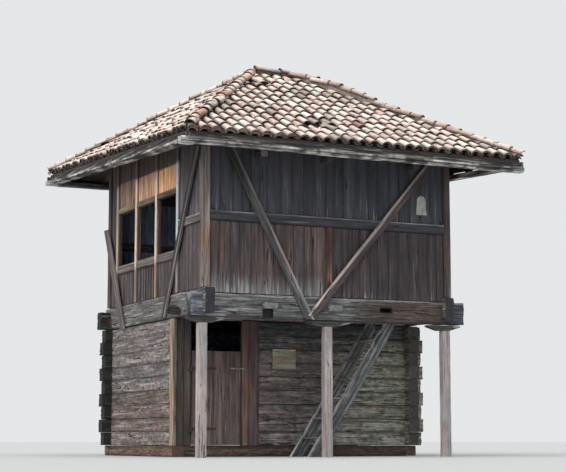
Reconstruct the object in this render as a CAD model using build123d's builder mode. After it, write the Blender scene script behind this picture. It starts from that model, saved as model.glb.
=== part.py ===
from build123d import *
import os

# All sizes are in millimetres. X runs along the front, the front faces -Y, and Z = 0 is the ground.

# Plan of the upper storey and of the set-back ground storey
upper_half_width = 2235
upper_half_depth = 2250
ground_front = -1010
ground_back = 2145

# Heights of the ground storey
sill_height = 180
course_count = 9
course_height = 225
course_joint = 0.8
door_top = 1700

# Logs of the ground storey
log_thickness = 210
log_edge = 22
log_tail = 120
log_tail_step = 40

# Door, its two side planks and the corner post
corner_post_width = 80
corner_post_depth = 150
left_jamb_width = 245
doorway_width = 890
right_jamb_width = 310
jamb_thickness = 60
jamb_setback = 10
leaf_thickness = 40
leaf_setback = 5
leaf_side_gap = 12
leaf_bottom_gap = 15

# Door hinges and latch
pin_radius = 8
pin_clearance = 0.5
pin_height = 60
eye_wall = 6
eye_height = 40
strap_height = 34
strap_thickness = 5
strap_length = 420
strap_places = (430, 1400)
hinge_forward = 18
eye_lift = 0.5
latch_height = 26
latch_thickness = 8
latch_z = 1410
latch_length = 200
latch_reach = 65
ring_radius = 32
ring_wire = 6

# Floor frame of the upper storey
cross_beam_height = 210
cross_beam_depth = 210
cross_beam_edge = 60
cross_beam_housing = 100
side_beam_top = 2611
side_beam_thickness = 190
side_beam_tail = 80
front_beam_top = 2538
front_beam_bottom = 2147
front_beam_thickness = 220
front_beam_left_tail = 180
front_beam_right_tail = 235
beam_edge = 18
lap_height = 2340
joist_height = 120
joist_width = 240
joist_places = (-1090, 45, 990)
tenon_height = 90
tenon_reach = 60
empty_mortise_width = 220
empty_mortise_height = 70
floor_board = 30
peg_front = -1320
peg_thickness = 60
peg_bottom = 2245
peg_shoulder = 2320
peg_top = 2400
peg_reach = 220
peg_inner_reach = 40

# Front posts with their bolsters
front_post = 145
left_post_inset = 21
middle_front_post = -54
right_post_inset = 105
bolster_half_length = 385
bolster_height = 90
bolster_tip_height = 32
bolster_flat = 130
corner_bolster_outer = 262
corner_bolster_inner = 345

# Stair
stair_foot = -300
stair_slope = 1.55
stair_drop = 386
stair_front = -1980
stair_width = 700
stringer_thickness = 55
stair_top = 1280
tread_count = 7
tread_rise = 320
tread_thickness = 42
tread_depth = 235
tread_nose = 22
trimmer_width = 120
hatch_start = 330

# Frame of the upper storey
upper_post = 130
middle_post = 110
middle_post_place = -30
slim_post_width = 84
slim_post_depth = 90
rail_depth = 90
front_rail_bottom = 3655
front_rail_top = 3820
side_rail_bottom = 3645
side_rail_top = 3785
window_post_first = -1140
window_post_pitch = 965
window_post_count = 4
sill_rail_bottom = 3170
sill_rail_top = 3311
lintel_bottom = 4236
lintel_top = 4335
wall_board = 30
wall_board_setback = 35

# Ceiling ties
ceiling_rail_bottom = 4520
ceiling_rail_height = 160
ceiling_rail_depth = 100
tie_width = 120
tie_height = 100
tie_reach = 200
left_tie_inset = 955
middle_tie = -116
right_tie_inset = 763

# Raking braces: each is a start point, an end point and a width, along the wall and up
brace_thickness = 40
front_brace_left = ((-1800, 4830), (-400, 2160), 140)
front_brace_right = ((1856, 4830), (-370, 2215), 135)
side_brace_near = ((-2030, 4830), (-630, 2240), 130)
side_brace_far = ((2260, 4030), (1330, 2180), 190)
plain_braces = (((-1740, 4830), (-250, 2290), 150), ((1740, 4830), (250, 2290), 150))
brace_foot_gap = 3

# Plates on the walls
bell_inset = 549
bell_bottom = 3966
bell_height = 318
bell_width = 205
bell_waist = 168
bell_thickness = 12
plaque_offset = 444
plaque_bottom = 1437
plaque_width = 421
plaque_height = 321
plaque_thickness = 25

# Roof form
eave_half_width = 2980
eave_front = -3400
eave_back = 3730
eave_rise = 400
tile_top_front = 4880
ridge_height = 6700
ridge_half_length = 377
tile_depth = 120
tile_relief = 60
tile_pitch = 205
tile_rib_width = 165
tile_overhang = 45
rib_root = 10
deck_depth = 30
rafter_depth = 90
rafter_width = 90
rafter_pitch = 620
hip_width = 110
edge_board_thickness = 30
edge_board_height = 105
eaves_beam_inset = 100
eaves_beam_width = 160
eaves_beam_drop = 280
eaves_side_drop = 240
eaves_beam_end = 3040
wall_plate_height = 120
wall_plate_width = 130
cap_radius = 95
piece_joint = 0.8

# Worked-out places
sill_top = sill_height
wall_top = sill_top + course_count * course_height
side_beam_bottom = wall_top
cross_beam_top = wall_top + cross_beam_height
floor_top = cross_beam_top + floor_board
joist_bottom = cross_beam_top - joist_height
upper_left = -upper_half_width
upper_right = upper_half_width
upper_front = -upper_half_depth
upper_back = upper_half_depth
beam_inner_x = upper_half_width - side_beam_thickness
beam_inner_y = upper_half_depth - front_beam_thickness
ground_front_inner = ground_front + log_thickness
ground_back_inner = ground_back - log_thickness
log_inner_x = upper_half_width - log_thickness
left_jamb_start = upper_left + corner_post_width
left_jamb_end = left_jamb_start + left_jamb_width
right_jamb_start = left_jamb_end + doorway_width
front_log_start = right_jamb_start + right_jamb_width
post_front = ground_front - jamb_setback
cross_front = post_front
cross_back = cross_front + cross_beam_depth
post_inner_x = upper_half_width - upper_post
post_inner_y = upper_half_depth - upper_post
front_post_places = (upper_left + left_post_inset, middle_front_post, upper_right - right_post_inset)
tie_places = (upper_left + left_tie_inset, middle_tie, upper_right - right_tie_inset)
slope_tilt = eave_rise / (eave_back - eave_front)
eaves_middle = (eave_front + eave_back) / 2
roof_base = front_beam_bottom
roof_height = 2 * ridge_height


def span(middle, width):
    """The two bounds of a width about its middle."""
    return (middle - width / 2, middle + width / 2)


def timber(axis, x, y, z, edge=0, mode=Mode.ADD):
    """A squared timber between its bounds, with its long edges rounded."""
    middle_x = (x[0] + x[1]) / 2
    middle_y = (y[0] + y[1]) / 2
    middle_z = (z[0] + z[1]) / 2
    if axis == "X":
        start = Plane(origin=(x[0], middle_y, middle_z), x_dir=(0, 1, 0), z_dir=(1, 0, 0))
        wide, high, long = y[1] - y[0], z[1] - z[0], x[1] - x[0]
    elif axis == "Y":
        start = Plane(origin=(middle_x, y[0], middle_z), x_dir=(0, 0, 1), z_dir=(0, 1, 0))
        wide, high, long = z[1] - z[0], x[1] - x[0], y[1] - y[0]
    else:
        start = Plane(origin=(middle_x, middle_y, z[0]), x_dir=(1, 0, 0), z_dir=(0, 0, 1))
        wide, high, long = x[1] - x[0], y[1] - y[0], z[1] - z[0]
    with BuildSketch(start) as end:
        Rectangle(wide, high)
        if edge:
            fillet(end.vertices(), edge)
    extrude(end.sketch, amount=long, mode=mode)


def cut(x, y, z):
    """A square-cornered notch between its bounds."""
    timber("Z", x, y, z, mode=Mode.SUBTRACT)


def front_outline(points, y, mode=Mode.ADD):
    """A flat piece with its outline in X and Z, between two places in Y."""
    with BuildSketch(Plane(origin=(0, y[1], 0), x_dir=(1, 0, 0), z_dir=(0, -1, 0))) as outline:
        with BuildLine():
            Polyline(*points, close=True)
        make_face()
    extrude(outline.sketch, amount=y[1] - y[0], mode=mode)


def side_outline(points, x, mode=Mode.ADD):
    """A flat piece with its outline in Y and Z, between two places in X."""
    with BuildSketch(Plane(origin=(x[0], 0, 0), x_dir=(0, 1, 0), z_dir=(1, 0, 0))) as outline:
        with BuildLine():
            Polyline(*points, close=True)
        make_face()
    extrude(outline.sketch, amount=x[1] - x[0], mode=mode)


def plan_outline(points, z, mode=Mode.ADD):
    """A piece with its outline in X and Y, between two heights."""
    with BuildSketch(Plane.XY.offset(z[0])) as outline:
        with BuildLine():
            Polyline(*points, close=True)
        make_face()
    extrude(outline.sketch, amount=z[1] - z[0], mode=mode)


def raking(brace):
    """The four corners of a brace: level at its foot and at its head."""
    (top_across, top_up), (foot_across, foot_up), width = brace
    along = Vector(top_across - foot_across, top_up - foot_up)
    half = width / 2 * along.length / along.Y
    return [
        (foot_across - half, foot_up),
        (foot_across + half, foot_up),
        (top_across + half, top_up),
        (top_across - half, top_up),
    ]


def tilted(height):
    """A plane that rises to the back as the eaves do, with its height given at the front eave."""
    return Plane(origin=(0, eave_front, height), x_dir=(1, 0, 0), z_dir=(0, -slope_tilt, 1))


def tilted_height(height, y):
    """The height of such a plane at one place."""
    return height + slope_tilt * (y - eave_front)


def through(first, second, third):
    """An upward plane through three points."""
    across = Vector(*second) - Vector(*first)
    up_slope = Vector(*third) - Vector(*first)
    return Plane(origin=third, z_dir=across.cross(up_slope))


def slope_corners(depth):
    """The corners of the four slopes, lowered by a depth: two along the eave, then those along the ridge."""
    front = tile_top_front - depth
    back = front + eave_rise
    ridge = ridge_height - depth
    near_left = (-eave_half_width, eave_front, front)
    near_right = (eave_half_width, eave_front, front)
    far_left = (-eave_half_width, eave_back, back)
    far_right = (eave_half_width, eave_back, back)
    left_end = (-ridge_half_length, 0, ridge)
    right_end = (ridge_half_length, 0, ridge)
    return [
        (near_left, near_right, right_end, left_end),
        (far_right, far_left, left_end, right_end),
        (far_left, near_left, left_end),
        (near_right, far_right, right_end),
    ]


def roof_slopes(depth):
    """The planes of the four slopes, lowered by a depth."""
    return [through(*corners[:3]) for corners in slope_corners(depth)]


def eave_bounds(inset):
    """The plan of the eaves, inset from the edge of the tiles."""
    return span(0, 2 * (eave_half_width - inset)), (eave_front + inset, eave_back - inset)


def under_roof(inset, depth):
    """Everything below the lowered slopes, inset from the edge of the tiles."""
    with BuildPart() as body:
        timber("Z", *eave_bounds(inset), (roof_base, roof_height))
        for slope in roof_slopes(depth):
            split(bisect_by=slope, keep=Keep.BOTTOM)
    return body.part


def roof_layer(inset, top, bottom):
    """A layer of the roof between two depths, inset from the edge of the tiles."""
    with BuildPart() as layer:
        add(under_roof(inset, top))
        add(under_roof(inset, bottom), mode=Mode.SUBTRACT)
    return layer.part


def finish(piece, name):
    """Writes a finished sub-part, with the middle of the eaves over the origin."""
    placed = piece.part.moved(Location((0, -eaves_middle, 0)))
    placed.label = name
    export_step(placed, f"parts/{name}.step")


os.makedirs("parts", exist_ok=True)


# Ground sills: two along the sides, with the front and back ones between them
with BuildPart() as side_sills:
    side_sill_y = (post_front, ground_back + log_tail)
    timber("Y", (upper_left, -log_inner_x), side_sill_y, (0, sill_height), log_edge)
    timber("Y", (log_inner_x, upper_right), side_sill_y, (0, sill_height), log_edge)
finish(side_sills, "side_sills")

with BuildPart() as cross_sills:
    cross_sill_x = (-log_inner_x, log_inner_x)
    timber("X", cross_sill_x, (post_front, ground_front_inner), (0, sill_height), log_edge)
    timber("X", cross_sill_x, (ground_back_inner, ground_back), (0, sill_height), log_edge)
finish(cross_sills, "cross_sills")


def course_bounds(course):
    """The bottom, middle and top of one course of logs."""
    bottom = sill_top + course * course_height
    return bottom, bottom + course_height / 2, bottom + course_height - course_joint


def log_end(course):
    """How far the ends of one course stand past a crossing."""
    return log_tail + log_tail_step * (course % 2)


# Log walls: at each crossing one log keeps its lower half and the other its upper half
left_x = (upper_left, -log_inner_x)
right_x = (log_inner_x, upper_right)
front_y = (ground_front, ground_front_inner)
back_y = (ground_back_inner, ground_back)

with BuildPart() as log_wall_left:
    for course in range(course_count):
        bottom, middle, top = course_bounds(course)
        log_y = (post_front + corner_post_depth, ground_back + log_end(course))
        timber("Y", left_x, log_y, (bottom, top), log_edge)
        cut(left_x, back_y, (bottom, middle))
finish(log_wall_left, "log_wall_left")

with BuildPart() as log_wall_right:
    for course in range(course_count):
        bottom, middle, top = course_bounds(course)
        log_y = (ground_front - log_end(course), ground_back + log_end(course))
        timber("Y", right_x, log_y, (bottom, top), log_edge)
        cut(right_x, back_y, (bottom, middle))
        cut(right_x, front_y, (bottom, middle))
finish(log_wall_right, "log_wall_right")

with BuildPart() as log_wall_back:
    for course in range(course_count):
        bottom, middle, top = course_bounds(course)
        log_x = (upper_left - log_end(course), upper_right + log_end(course))
        timber("X", log_x, back_y, (bottom, top), log_edge)
        cut(left_x, back_y, (middle, top))
        cut(right_x, back_y, (middle, top))
finish(log_wall_back, "log_wall_back")

with BuildPart() as log_wall_front:
    for course in range(course_count):
        bottom, middle, top = course_bounds(course)
        timber("X", (front_log_start, upper_right + log_end(course)), front_y, (bottom, top), log_edge)
        cut(right_x, front_y, (middle, top))
finish(log_wall_front, "log_wall_front")

# Corner post at the free end of the left wall
with BuildPart() as ground_corner_post:
    post_x = (upper_left, left_jamb_start)
    post_y = (post_front, post_front + corner_post_depth)
    timber("Z", post_x, post_y, (sill_top, wall_top), beam_edge)
finish(ground_corner_post, "ground_corner_post")

# Planks on both sides of the doorway
jamb_y = (ground_front, ground_front + jamb_thickness)
with BuildPart() as door_jambs:
    timber("Z", (left_jamb_start, left_jamb_end), jamb_y, (sill_top, wall_top))
    timber("Z", (right_jamb_start, front_log_start), jamb_y, (sill_top, wall_top))
finish(door_jambs, "door_jambs")

# Door leaf, hung at its left edge
leaf_x = (left_jamb_end + leaf_side_gap, right_jamb_start - leaf_side_gap)
leaf_y = (ground_front + leaf_setback, ground_front + leaf_setback + leaf_thickness)
leaf_front = leaf_y[0]
hinge_x = left_jamb_end
hinge_y = ground_front - hinge_forward
with BuildPart() as door_leaf:
    timber("Z", leaf_x, leaf_y, (sill_top + leaf_bottom_gap, door_top))
finish(door_leaf, "door_leaf")

# Hinge straps, each with an eye around its pin
eye_radius = pin_radius + pin_clearance + eye_wall
with BuildPart() as door_straps:
    for strap_place in strap_places:
        strap_z = strap_place + eye_lift
        with BuildSketch(Plane.XY.offset(strap_z)) as eye:
            with Locations((hinge_x, hinge_y)):
                Circle(eye_radius)
                Circle(pin_radius + pin_clearance, mode=Mode.SUBTRACT)
        extrude(eye.sketch, amount=eye_height)
        link_x = (hinge_x + pin_radius + pin_clearance, hinge_x + eye_radius + strap_thickness)
        link_y = (hinge_y, leaf_front)
        strap_z_bounds = (strap_z, strap_z + strap_height)
        with BuildSketch(Plane.XY.offset(strap_z)) as link:
            with BuildLine():
                Polyline(
                    (link_x[0] + eye_wall / 2, link_y[0]),
                    (link_x[1], link_y[0]),
                    (link_x[1], link_y[1]),
                    (link_x[1] - strap_thickness, link_y[1]),
                    close=True,
                )
            make_face()
        extrude(link.sketch, amount=strap_height)
        strap_x = (link_x[1] - strap_thickness, leaf_x[0] + strap_length)
        timber("Z", strap_x, (leaf_front - strap_thickness, leaf_front), strap_z_bounds)
finish(door_straps, "door_straps")

# Hinge pins: each stands on an arm that is fixed to the left plank
with BuildPart() as hinge_pins:
    for strap_z in strap_places:
        with BuildSketch(Plane.XY.offset(strap_z - pin_height / 2)) as pin:
            with Locations((hinge_x, hinge_y)):
                Circle(pin_radius)
        extrude(pin.sketch, amount=pin_height / 2 + eye_height)
        with BuildSketch(Plane.XY.offset(strap_z - pin_height / 2)) as collar:
            with Locations((hinge_x, hinge_y)):
                Circle(eye_radius)
        extrude(collar.sketch, amount=pin_height / 2)
        arm_x = (hinge_x - pin_height, hinge_x)
        arm_z = (strap_z - pin_height / 2, strap_z)
        timber("Z", arm_x, (hinge_y - pin_radius, ground_front), arm_z)
finish(hinge_pins, "hinge_pins")

# Latch bar with a ring at its end
with BuildPart() as door_latch:
    latch_x = (leaf_x[1] - latch_length, leaf_x[1] + latch_reach)
    bar_y = (ground_front - latch_thickness * 2, ground_front - latch_thickness)
    timber("X", latch_x, bar_y, (latch_z, latch_z + latch_height))
    foot_x = (latch_x[0], latch_x[0] + latch_height)
    timber("Y", foot_x, (bar_y[1], leaf_front), (latch_z, latch_z + latch_height))
    ring_plane = Plane(origin=(latch_x[1], bar_y[0] - ring_wire, latch_z), z_dir=(0, 1, 0))
    with BuildSketch(ring_plane) as ring:
        Circle(ring_radius)
        Circle(ring_radius - ring_wire, mode=Mode.SUBTRACT)
    extrude(ring.sketch, amount=ring_wire)
finish(door_latch, "door_latch")

# Cross beam over the ground front wall, its ends housed in the side beams
cross_beam_end = beam_inner_x + cross_beam_housing
with BuildPart() as cross_beam:
    beam_x = (-cross_beam_end, cross_beam_end)
    timber("X", beam_x, (cross_front, cross_back), (wall_top, cross_beam_top), cross_beam_edge)
    for joist_x in joist_places:
        cut(span(joist_x, joist_width), (cross_front, cross_back), (joist_bottom, cross_beam_top))
finish(cross_beam, "cross_beam")

# Plate on the back log wall
with BuildPart() as back_plate:
    plate_x = (-beam_inner_x, beam_inner_x)
    timber("X", plate_x, (ground_back_inner, beam_inner_y), (wall_top, joist_bottom))
finish(back_plate, "back_plate")

# Side beams, notched over the ends of the cross beam and lapped over the front and back beams
peg_y = (peg_front, peg_front + peg_thickness)
mortise_y = (peg_y[0] - piece_joint, peg_y[1] + piece_joint)
mortise_z = (peg_bottom - piece_joint, peg_shoulder + piece_joint)
crossing_z = (side_beam_bottom, cross_beam_top)
with BuildPart() as side_beams:
    for beam_x in ((upper_left, -beam_inner_x), (beam_inner_x, upper_right)):
        beam_y = (upper_front - side_beam_tail, upper_back + side_beam_tail)
        timber("Y", beam_x, beam_y, (side_beam_bottom, side_beam_top), beam_edge)
        cut((-cross_beam_end, cross_beam_end), (cross_front, cross_back), crossing_z)
        cut(beam_x, mortise_y, mortise_z)
        cut(beam_x, (upper_front, -beam_inner_y), (side_beam_bottom, lap_height))
        cut(beam_x, (beam_inner_y, upper_back), (side_beam_bottom, lap_height))
finish(side_beams, "side_beams")

# Flat pegs through the side beams, with round heads outside
with BuildPart() as beam_pegs:
    for side in (-1, 1):
        peg_plane = Plane(origin=(0, peg_y[1], 0), x_dir=(side, 0, 0), z_dir=(0, -side, 0))
        with BuildSketch(peg_plane) as peg:
            with BuildLine():
                inner_end = (beam_inner_x - peg_inner_reach, peg_bottom)
                outer_end = (upper_half_width + peg_reach, peg_shoulder)
                crown = (upper_half_width + peg_reach / 2, peg_top)
                face = (upper_half_width, peg_shoulder)
                inner_top = (inner_end[0], peg_shoulder)
                outer_bottom = (outer_end[0], peg_bottom)
                Polyline(face, inner_top, inner_end, outer_bottom, outer_end)
                ThreePointArc(outer_end, crown, face)
            make_face()
        extrude(peg.sketch, amount=side * peg_thickness)
finish(beam_pegs, "beam_pegs")

# Front beam, with two mortises that hold joist ends and one that is empty
tenon_z = span(joist_bottom + joist_height / 2, tenon_height)
front_beam_y = (upper_front, -beam_inner_y)
front_beam_x = (upper_left - front_beam_left_tail, upper_right + front_beam_right_tail)
with BuildPart() as front_beam:
    timber("X", front_beam_x, front_beam_y, (front_beam_bottom, front_beam_top), beam_edge)
    for joist_x in joist_places[:2]:
        cut(span(joist_x, joist_width), front_beam_y, tenon_z)
    empty_z = span(joist_bottom + joist_height / 2, empty_mortise_height)
    cut(span(joist_places[2], empty_mortise_width), front_beam_y, empty_z)
    for beam_x in ((upper_left, -beam_inner_x), (beam_inner_x, upper_right)):
        cut(beam_x, front_beam_y, (lap_height, front_beam_top))
finish(front_beam, "front_beam")

# Back beam
back_beam_y = (beam_inner_y, upper_back)
with BuildPart() as back_beam:
    timber("X", front_beam_x, back_beam_y, (wall_top, front_beam_top), beam_edge)
    for beam_x in ((upper_left, -beam_inner_x), (beam_inner_x, upper_right)):
        cut(beam_x, back_beam_y, (lap_height, front_beam_top))
finish(back_beam, "back_beam")

# Floor joists: two have tenons through the front beam, the third ends at the cross beam.
# A short trimmer carries the head of the stair.
with BuildPart() as joists:
    for joist_x in joist_places:
        joist_z = (joist_bottom, cross_beam_top)
        joist_start = cross_front if joist_x == joist_places[2] else -beam_inner_y
        timber("Y", span(joist_x, joist_width), (joist_start, beam_inner_y), joist_z)
    for joist_x in joist_places[:2]:
        tenon_y = (upper_front - tenon_reach, -beam_inner_y)
        timber("Y", span(joist_x, joist_width), tenon_y, tenon_z)
    trimmer_x = (stair_top, stair_top + trimmer_width)
    timber("Y", trimmer_x, (-beam_inner_y, cross_front), (joist_bottom, cross_beam_top))
finish(joists, "joists")

# Floor of the upper storey in three parts, open over the stair
with BuildPart() as upper_floor:
    floor_y = (-beam_inner_y, beam_inner_y)
    floor_z = (cross_beam_top, floor_top)
    timber("Z", (-beam_inner_x, hatch_start), floor_y, floor_z)
    timber("Z", (stair_top, beam_inner_x), floor_y, floor_z)
    middle_x = (hatch_start + piece_joint, stair_top - piece_joint)
    timber("Z", middle_x, (cross_front, beam_inner_y), floor_z)
finish(upper_floor, "upper_floor")

# Posts under the front beam
with BuildPart() as front_posts:
    for post_x in front_post_places:
        post_y = (upper_front, upper_front + front_post)
        post_z = (0, front_beam_bottom - bolster_height)
        timber("Z", span(post_x, front_post), post_y, post_z, beam_edge)
finish(front_posts, "front_posts")


def bolster(post_x, left_reach, right_reach):
    """A block on a post head, thinner towards both ends."""
    low = front_beam_bottom - bolster_height
    tip = front_beam_bottom - bolster_tip_height
    outline = [
        (post_x - bolster_flat, low),
        (post_x + bolster_flat, low),
        (post_x + right_reach, tip),
        (post_x + right_reach, front_beam_bottom),
        (post_x - left_reach, front_beam_bottom),
        (post_x - left_reach, tip),
    ]
    front_outline(outline, (upper_front, upper_front + front_post))


with BuildPart() as bolsters:
    bolster(front_post_places[0], corner_bolster_outer, corner_bolster_inner)
    bolster(front_post_places[1], bolster_half_length, bolster_half_length)
    bolster(front_post_places[2], corner_bolster_inner, corner_bolster_outer)
finish(bolsters, "bolsters")

# Stair: two sloping stringers with boards between them
head_z = (stair_top - stair_foot) * stair_slope
stringer_outline = [
    (stair_foot, 0),
    (stair_foot + stair_drop / stair_slope, 0),
    (stair_top, head_z - stair_drop),
    (stair_top, cross_beam_top),
    (stair_foot + cross_beam_top / stair_slope, cross_beam_top),
]
near_stringer = (stair_front, stair_front + stringer_thickness)
far_stringer = (stair_front + stair_width - stringer_thickness, stair_front + stair_width)
with BuildPart() as stair_stringers:
    front_outline(stringer_outline, near_stringer)
    front_outline(stringer_outline, far_stringer)
finish(stair_stringers, "stair_stringers")

with BuildPart() as stair_treads:
    for tread in range(1, tread_count + 1):
        tread_top = tread * tread_rise
        tread_start = stair_foot + tread_top / stair_slope - tread_nose
        tread_x = (tread_start, tread_start + tread_depth)
        tread_z = (tread_top - tread_thickness, tread_top)
        timber("Z", tread_x, (near_stringer[1], far_stringer[0]), tread_z)
finish(stair_treads, "stair_treads")

# Depths below the top of the tiles, and the foot of the wall plates under the side rafters
rafter_top = tile_depth + deck_depth
rafter_bottom = rafter_top + rafter_depth
side_rise = ridge_height - tilted_height(tile_top_front, 0)
side_slope = side_rise / (eave_half_width - ridge_half_length)
side_rafter_foot = tile_top_front - rafter_bottom + side_slope * (eave_half_width - upper_half_width)
wall_plate_base = side_rafter_foot - wall_plate_height

# Corner posts of the upper storey, cut to the rising line of the wall plates
plate_line = tilted(wall_plate_base)
with BuildPart() as corner_posts:
    for post_x in ((upper_left, -post_inner_x), (post_inner_x, upper_right)):
        for post_y in ((upper_front, -post_inner_y), (post_inner_y, upper_back)):
            timber("Z", post_x, post_y, (side_beam_top, ridge_height))
    split(bisect_by=plate_line, keep=Keep.BOTTOM)
finish(corner_posts, "corner_posts")

# Middle posts below the rails of the front, back and right walls
middle_post_x = span(middle_post_place, middle_post)
with BuildPart() as middle_posts:
    timber("Z", middle_post_x, (upper_front, upper_front + middle_post), (front_beam_top, front_rail_bottom))
    timber("Z", middle_post_x, (upper_back - middle_post, upper_back), (front_beam_top, front_rail_bottom))
    right_post_x = (upper_right - middle_post, upper_right)
    timber("Z", right_post_x, span(0, middle_post), (side_beam_top, front_rail_bottom))
finish(middle_posts, "middle_posts")

# Slim posts between and beside the windows of the left wall
window_posts_y = [window_post_first + window_post_pitch * post for post in range(window_post_count)]
slim_post_x = (upper_left, upper_left + slim_post_depth)
with BuildPart() as window_posts:
    for post_y in window_posts_y:
        timber("Z", slim_post_x, span(post_y, slim_post_width), (side_beam_top, ridge_height))
    split(bisect_by=plate_line, keep=Keep.BOTTOM)
finish(window_posts, "window_posts")

# Middle rails: full length on three walls, a short one beside the windows
rail_z = (front_rail_bottom, front_rail_top)
near_panel_y = (-post_inner_y, window_posts_y[0] - slim_post_width / 2)
far_panel_y = (window_posts_y[-1] + slim_post_width / 2, post_inner_y)
with BuildPart() as middle_rails:
    rail_x = (-post_inner_x, post_inner_x)
    timber("X", rail_x, (upper_front, upper_front + rail_depth), rail_z)
    timber("X", rail_x, (upper_back - rail_depth, upper_back), rail_z)
    timber("Y", (upper_right - rail_depth, upper_right), (-post_inner_y, post_inner_y), rail_z)
    short_rail_z = (side_rail_bottom, side_rail_top)
    timber("Y", (upper_left, upper_left + rail_depth), near_panel_y, short_rail_z)
finish(middle_rails, "middle_rails")

# Sills and lintels of the three windows
window_bays = [
    (post_y + slim_post_width / 2, post_y + window_post_pitch - slim_post_width / 2)
    for post_y in window_posts_y[:-1]
]
with BuildPart() as window_rails:
    for bay in window_bays:
        timber("Y", slim_post_x, bay, (sill_rail_bottom, sill_rail_top))
        timber("Y", slim_post_x, bay, (lintel_bottom, lintel_top))
finish(window_rails, "window_rails")


def long_wall_boards(board_y):
    """The boards of the front or the back wall: two panels below the rail, one above it."""
    timber("Z", (-post_inner_x, middle_post_x[0]), board_y, (front_beam_top, front_rail_bottom))
    timber("Z", (middle_post_x[1], post_inner_x), board_y, (front_beam_top, front_rail_bottom))
    timber("Z", (-post_inner_x, post_inner_x), board_y, (front_rail_top, ridge_height))
    for beam_x in ((upper_left, -beam_inner_x), (beam_inner_x, upper_right)):
        cut(beam_x, board_y, (front_beam_top, side_beam_top))
    for tie_x in tie_places:
        cut(span(tie_x, tie_width), board_y, (tie_bottom, tie_bottom + tie_height))
    split(bisect_by=plate_line, keep=Keep.BOTTOM)


tie_bottom = ceiling_rail_bottom + ceiling_rail_height
board_front = upper_front + wall_board_setback
board_back = upper_back - wall_board_setback
with BuildPart() as front_boards:
    long_wall_boards((board_front, board_front + wall_board))
finish(front_boards, "front_boards")

with BuildPart() as back_boards:
    long_wall_boards((board_back - wall_board, board_back))
finish(back_boards, "back_boards")

right_board_x = (upper_right - wall_board_setback - wall_board, upper_right - wall_board_setback)
with BuildPart() as right_boards:
    half_post = middle_post / 2
    timber("Z", right_board_x, (-post_inner_y, -half_post), (side_beam_top, front_rail_bottom))
    timber("Z", right_board_x, (half_post, post_inner_y), (side_beam_top, front_rail_bottom))
    timber("Z", right_board_x, (-post_inner_y, post_inner_y), (front_rail_top, ridge_height))
    split(bisect_by=plate_line, keep=Keep.BOTTOM)
finish(right_boards, "right_boards")

left_board_x = (upper_left + wall_board_setback, upper_left + wall_board_setback + wall_board)
with BuildPart() as left_boards:
    timber("Z", left_board_x, near_panel_y, (side_beam_top, side_rail_bottom))
    timber("Z", left_board_x, near_panel_y, (side_rail_top, ridge_height))
    timber("Z", left_board_x, far_panel_y, (side_beam_top, ridge_height))
    for bay in window_bays:
        timber("Z", left_board_x, bay, (side_beam_top, sill_rail_bottom))
    split(bisect_by=plate_line, keep=Keep.BOTTOM)
finish(left_boards, "left_boards")

with BuildPart() as window_head_boards:
    for bay in window_bays:
        timber("Z", left_board_x, bay, (lintel_top, ridge_height))
    split(bisect_by=plate_line, keep=Keep.BOTTOM)
finish(window_head_boards, "window_head_boards")

# Raking braces on the outside of the four walls
outer_front = (upper_front - brace_thickness, upper_front)
outer_back = (upper_back, upper_back + brace_thickness)
outer_left = (upper_left - brace_thickness, upper_left)
outer_right = (upper_right, upper_right + brace_thickness)
top_left, foot_left, width_left = front_brace_left
with BuildPart() as right_front_brace:
    front_outline(raking(front_brace_right), outer_front)
    foot_clearance = (top_left, foot_left, width_left + 2 * brace_foot_gap)
    front_outline(raking(foot_clearance), outer_front, mode=Mode.SUBTRACT)
    largest = right_front_brace.solids().sort_by(SortBy.VOLUME)[-1]
with BuildPart() as braces:
    front_outline(raking(front_brace_left), outer_front)
    add(largest)
    side_outline(raking(side_brace_near), outer_left)
    side_outline(raking(side_brace_far), outer_left)
    for brace in plain_braces:
        side_outline(raking(brace), outer_right)
        front_outline(raking(brace), outer_back)
finish(braces, "braces")

# Rails inside the front and back walls, with the ceiling ties on them
ceiling_rail_z = (ceiling_rail_bottom, tie_bottom)
inner_face = board_front + wall_board
with BuildPart() as ceiling_rails:
    rail_x = (-post_inner_x, post_inner_x)
    timber("X", rail_x, (inner_face, inner_face + ceiling_rail_depth), ceiling_rail_z)
    timber("X", rail_x, (-inner_face - ceiling_rail_depth, -inner_face), ceiling_rail_z)
finish(ceiling_rails, "ceiling_rails")

with BuildPart() as ceiling_ties:
    for tie_x in tie_places:
        tie_y = (upper_front - tie_reach, upper_back + tie_reach)
        timber("Y", span(tie_x, tie_width), tie_y, (tie_bottom, tie_bottom + tie_height))
finish(ceiling_ties, "ceiling_ties")

# Roof frame: everything between the underside of the rafters and a line that rises to the back
eaves_inner = eaves_beam_inset + eaves_beam_width
beam_outer_x, beam_outer_y = eave_bounds(eaves_beam_inset)
beam_inside_x, beam_inside_y = eave_bounds(eaves_inner)


def fit_under_rafters(base):
    """Cuts timbers to the slopes above and to a line below that rises to the back."""
    for slope in roof_slopes(rafter_bottom):
        split(bisect_by=slope, keep=Keep.BOTTOM)
    split(bisect_by=tilted(base), keep=Keep.TOP)


tall = (roof_base, roof_height)
with BuildPart() as wall_plates:
    plate_x = (upper_left, upper_right)
    timber("X", plate_x, (upper_front, upper_front + wall_plate_width), tall)
    timber("X", plate_x, (upper_back - wall_plate_width, upper_back), tall)
    plate_end = upper_half_depth - wall_plate_width - piece_joint
    plate_y = (-plate_end, plate_end)
    timber("Y", (upper_left, upper_left + wall_plate_width), plate_y, tall)
    timber("Y", (upper_right - wall_plate_width, upper_right), plate_y, tall)
    fit_under_rafters(wall_plate_base)
finish(wall_plates, "wall_plates")

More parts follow.
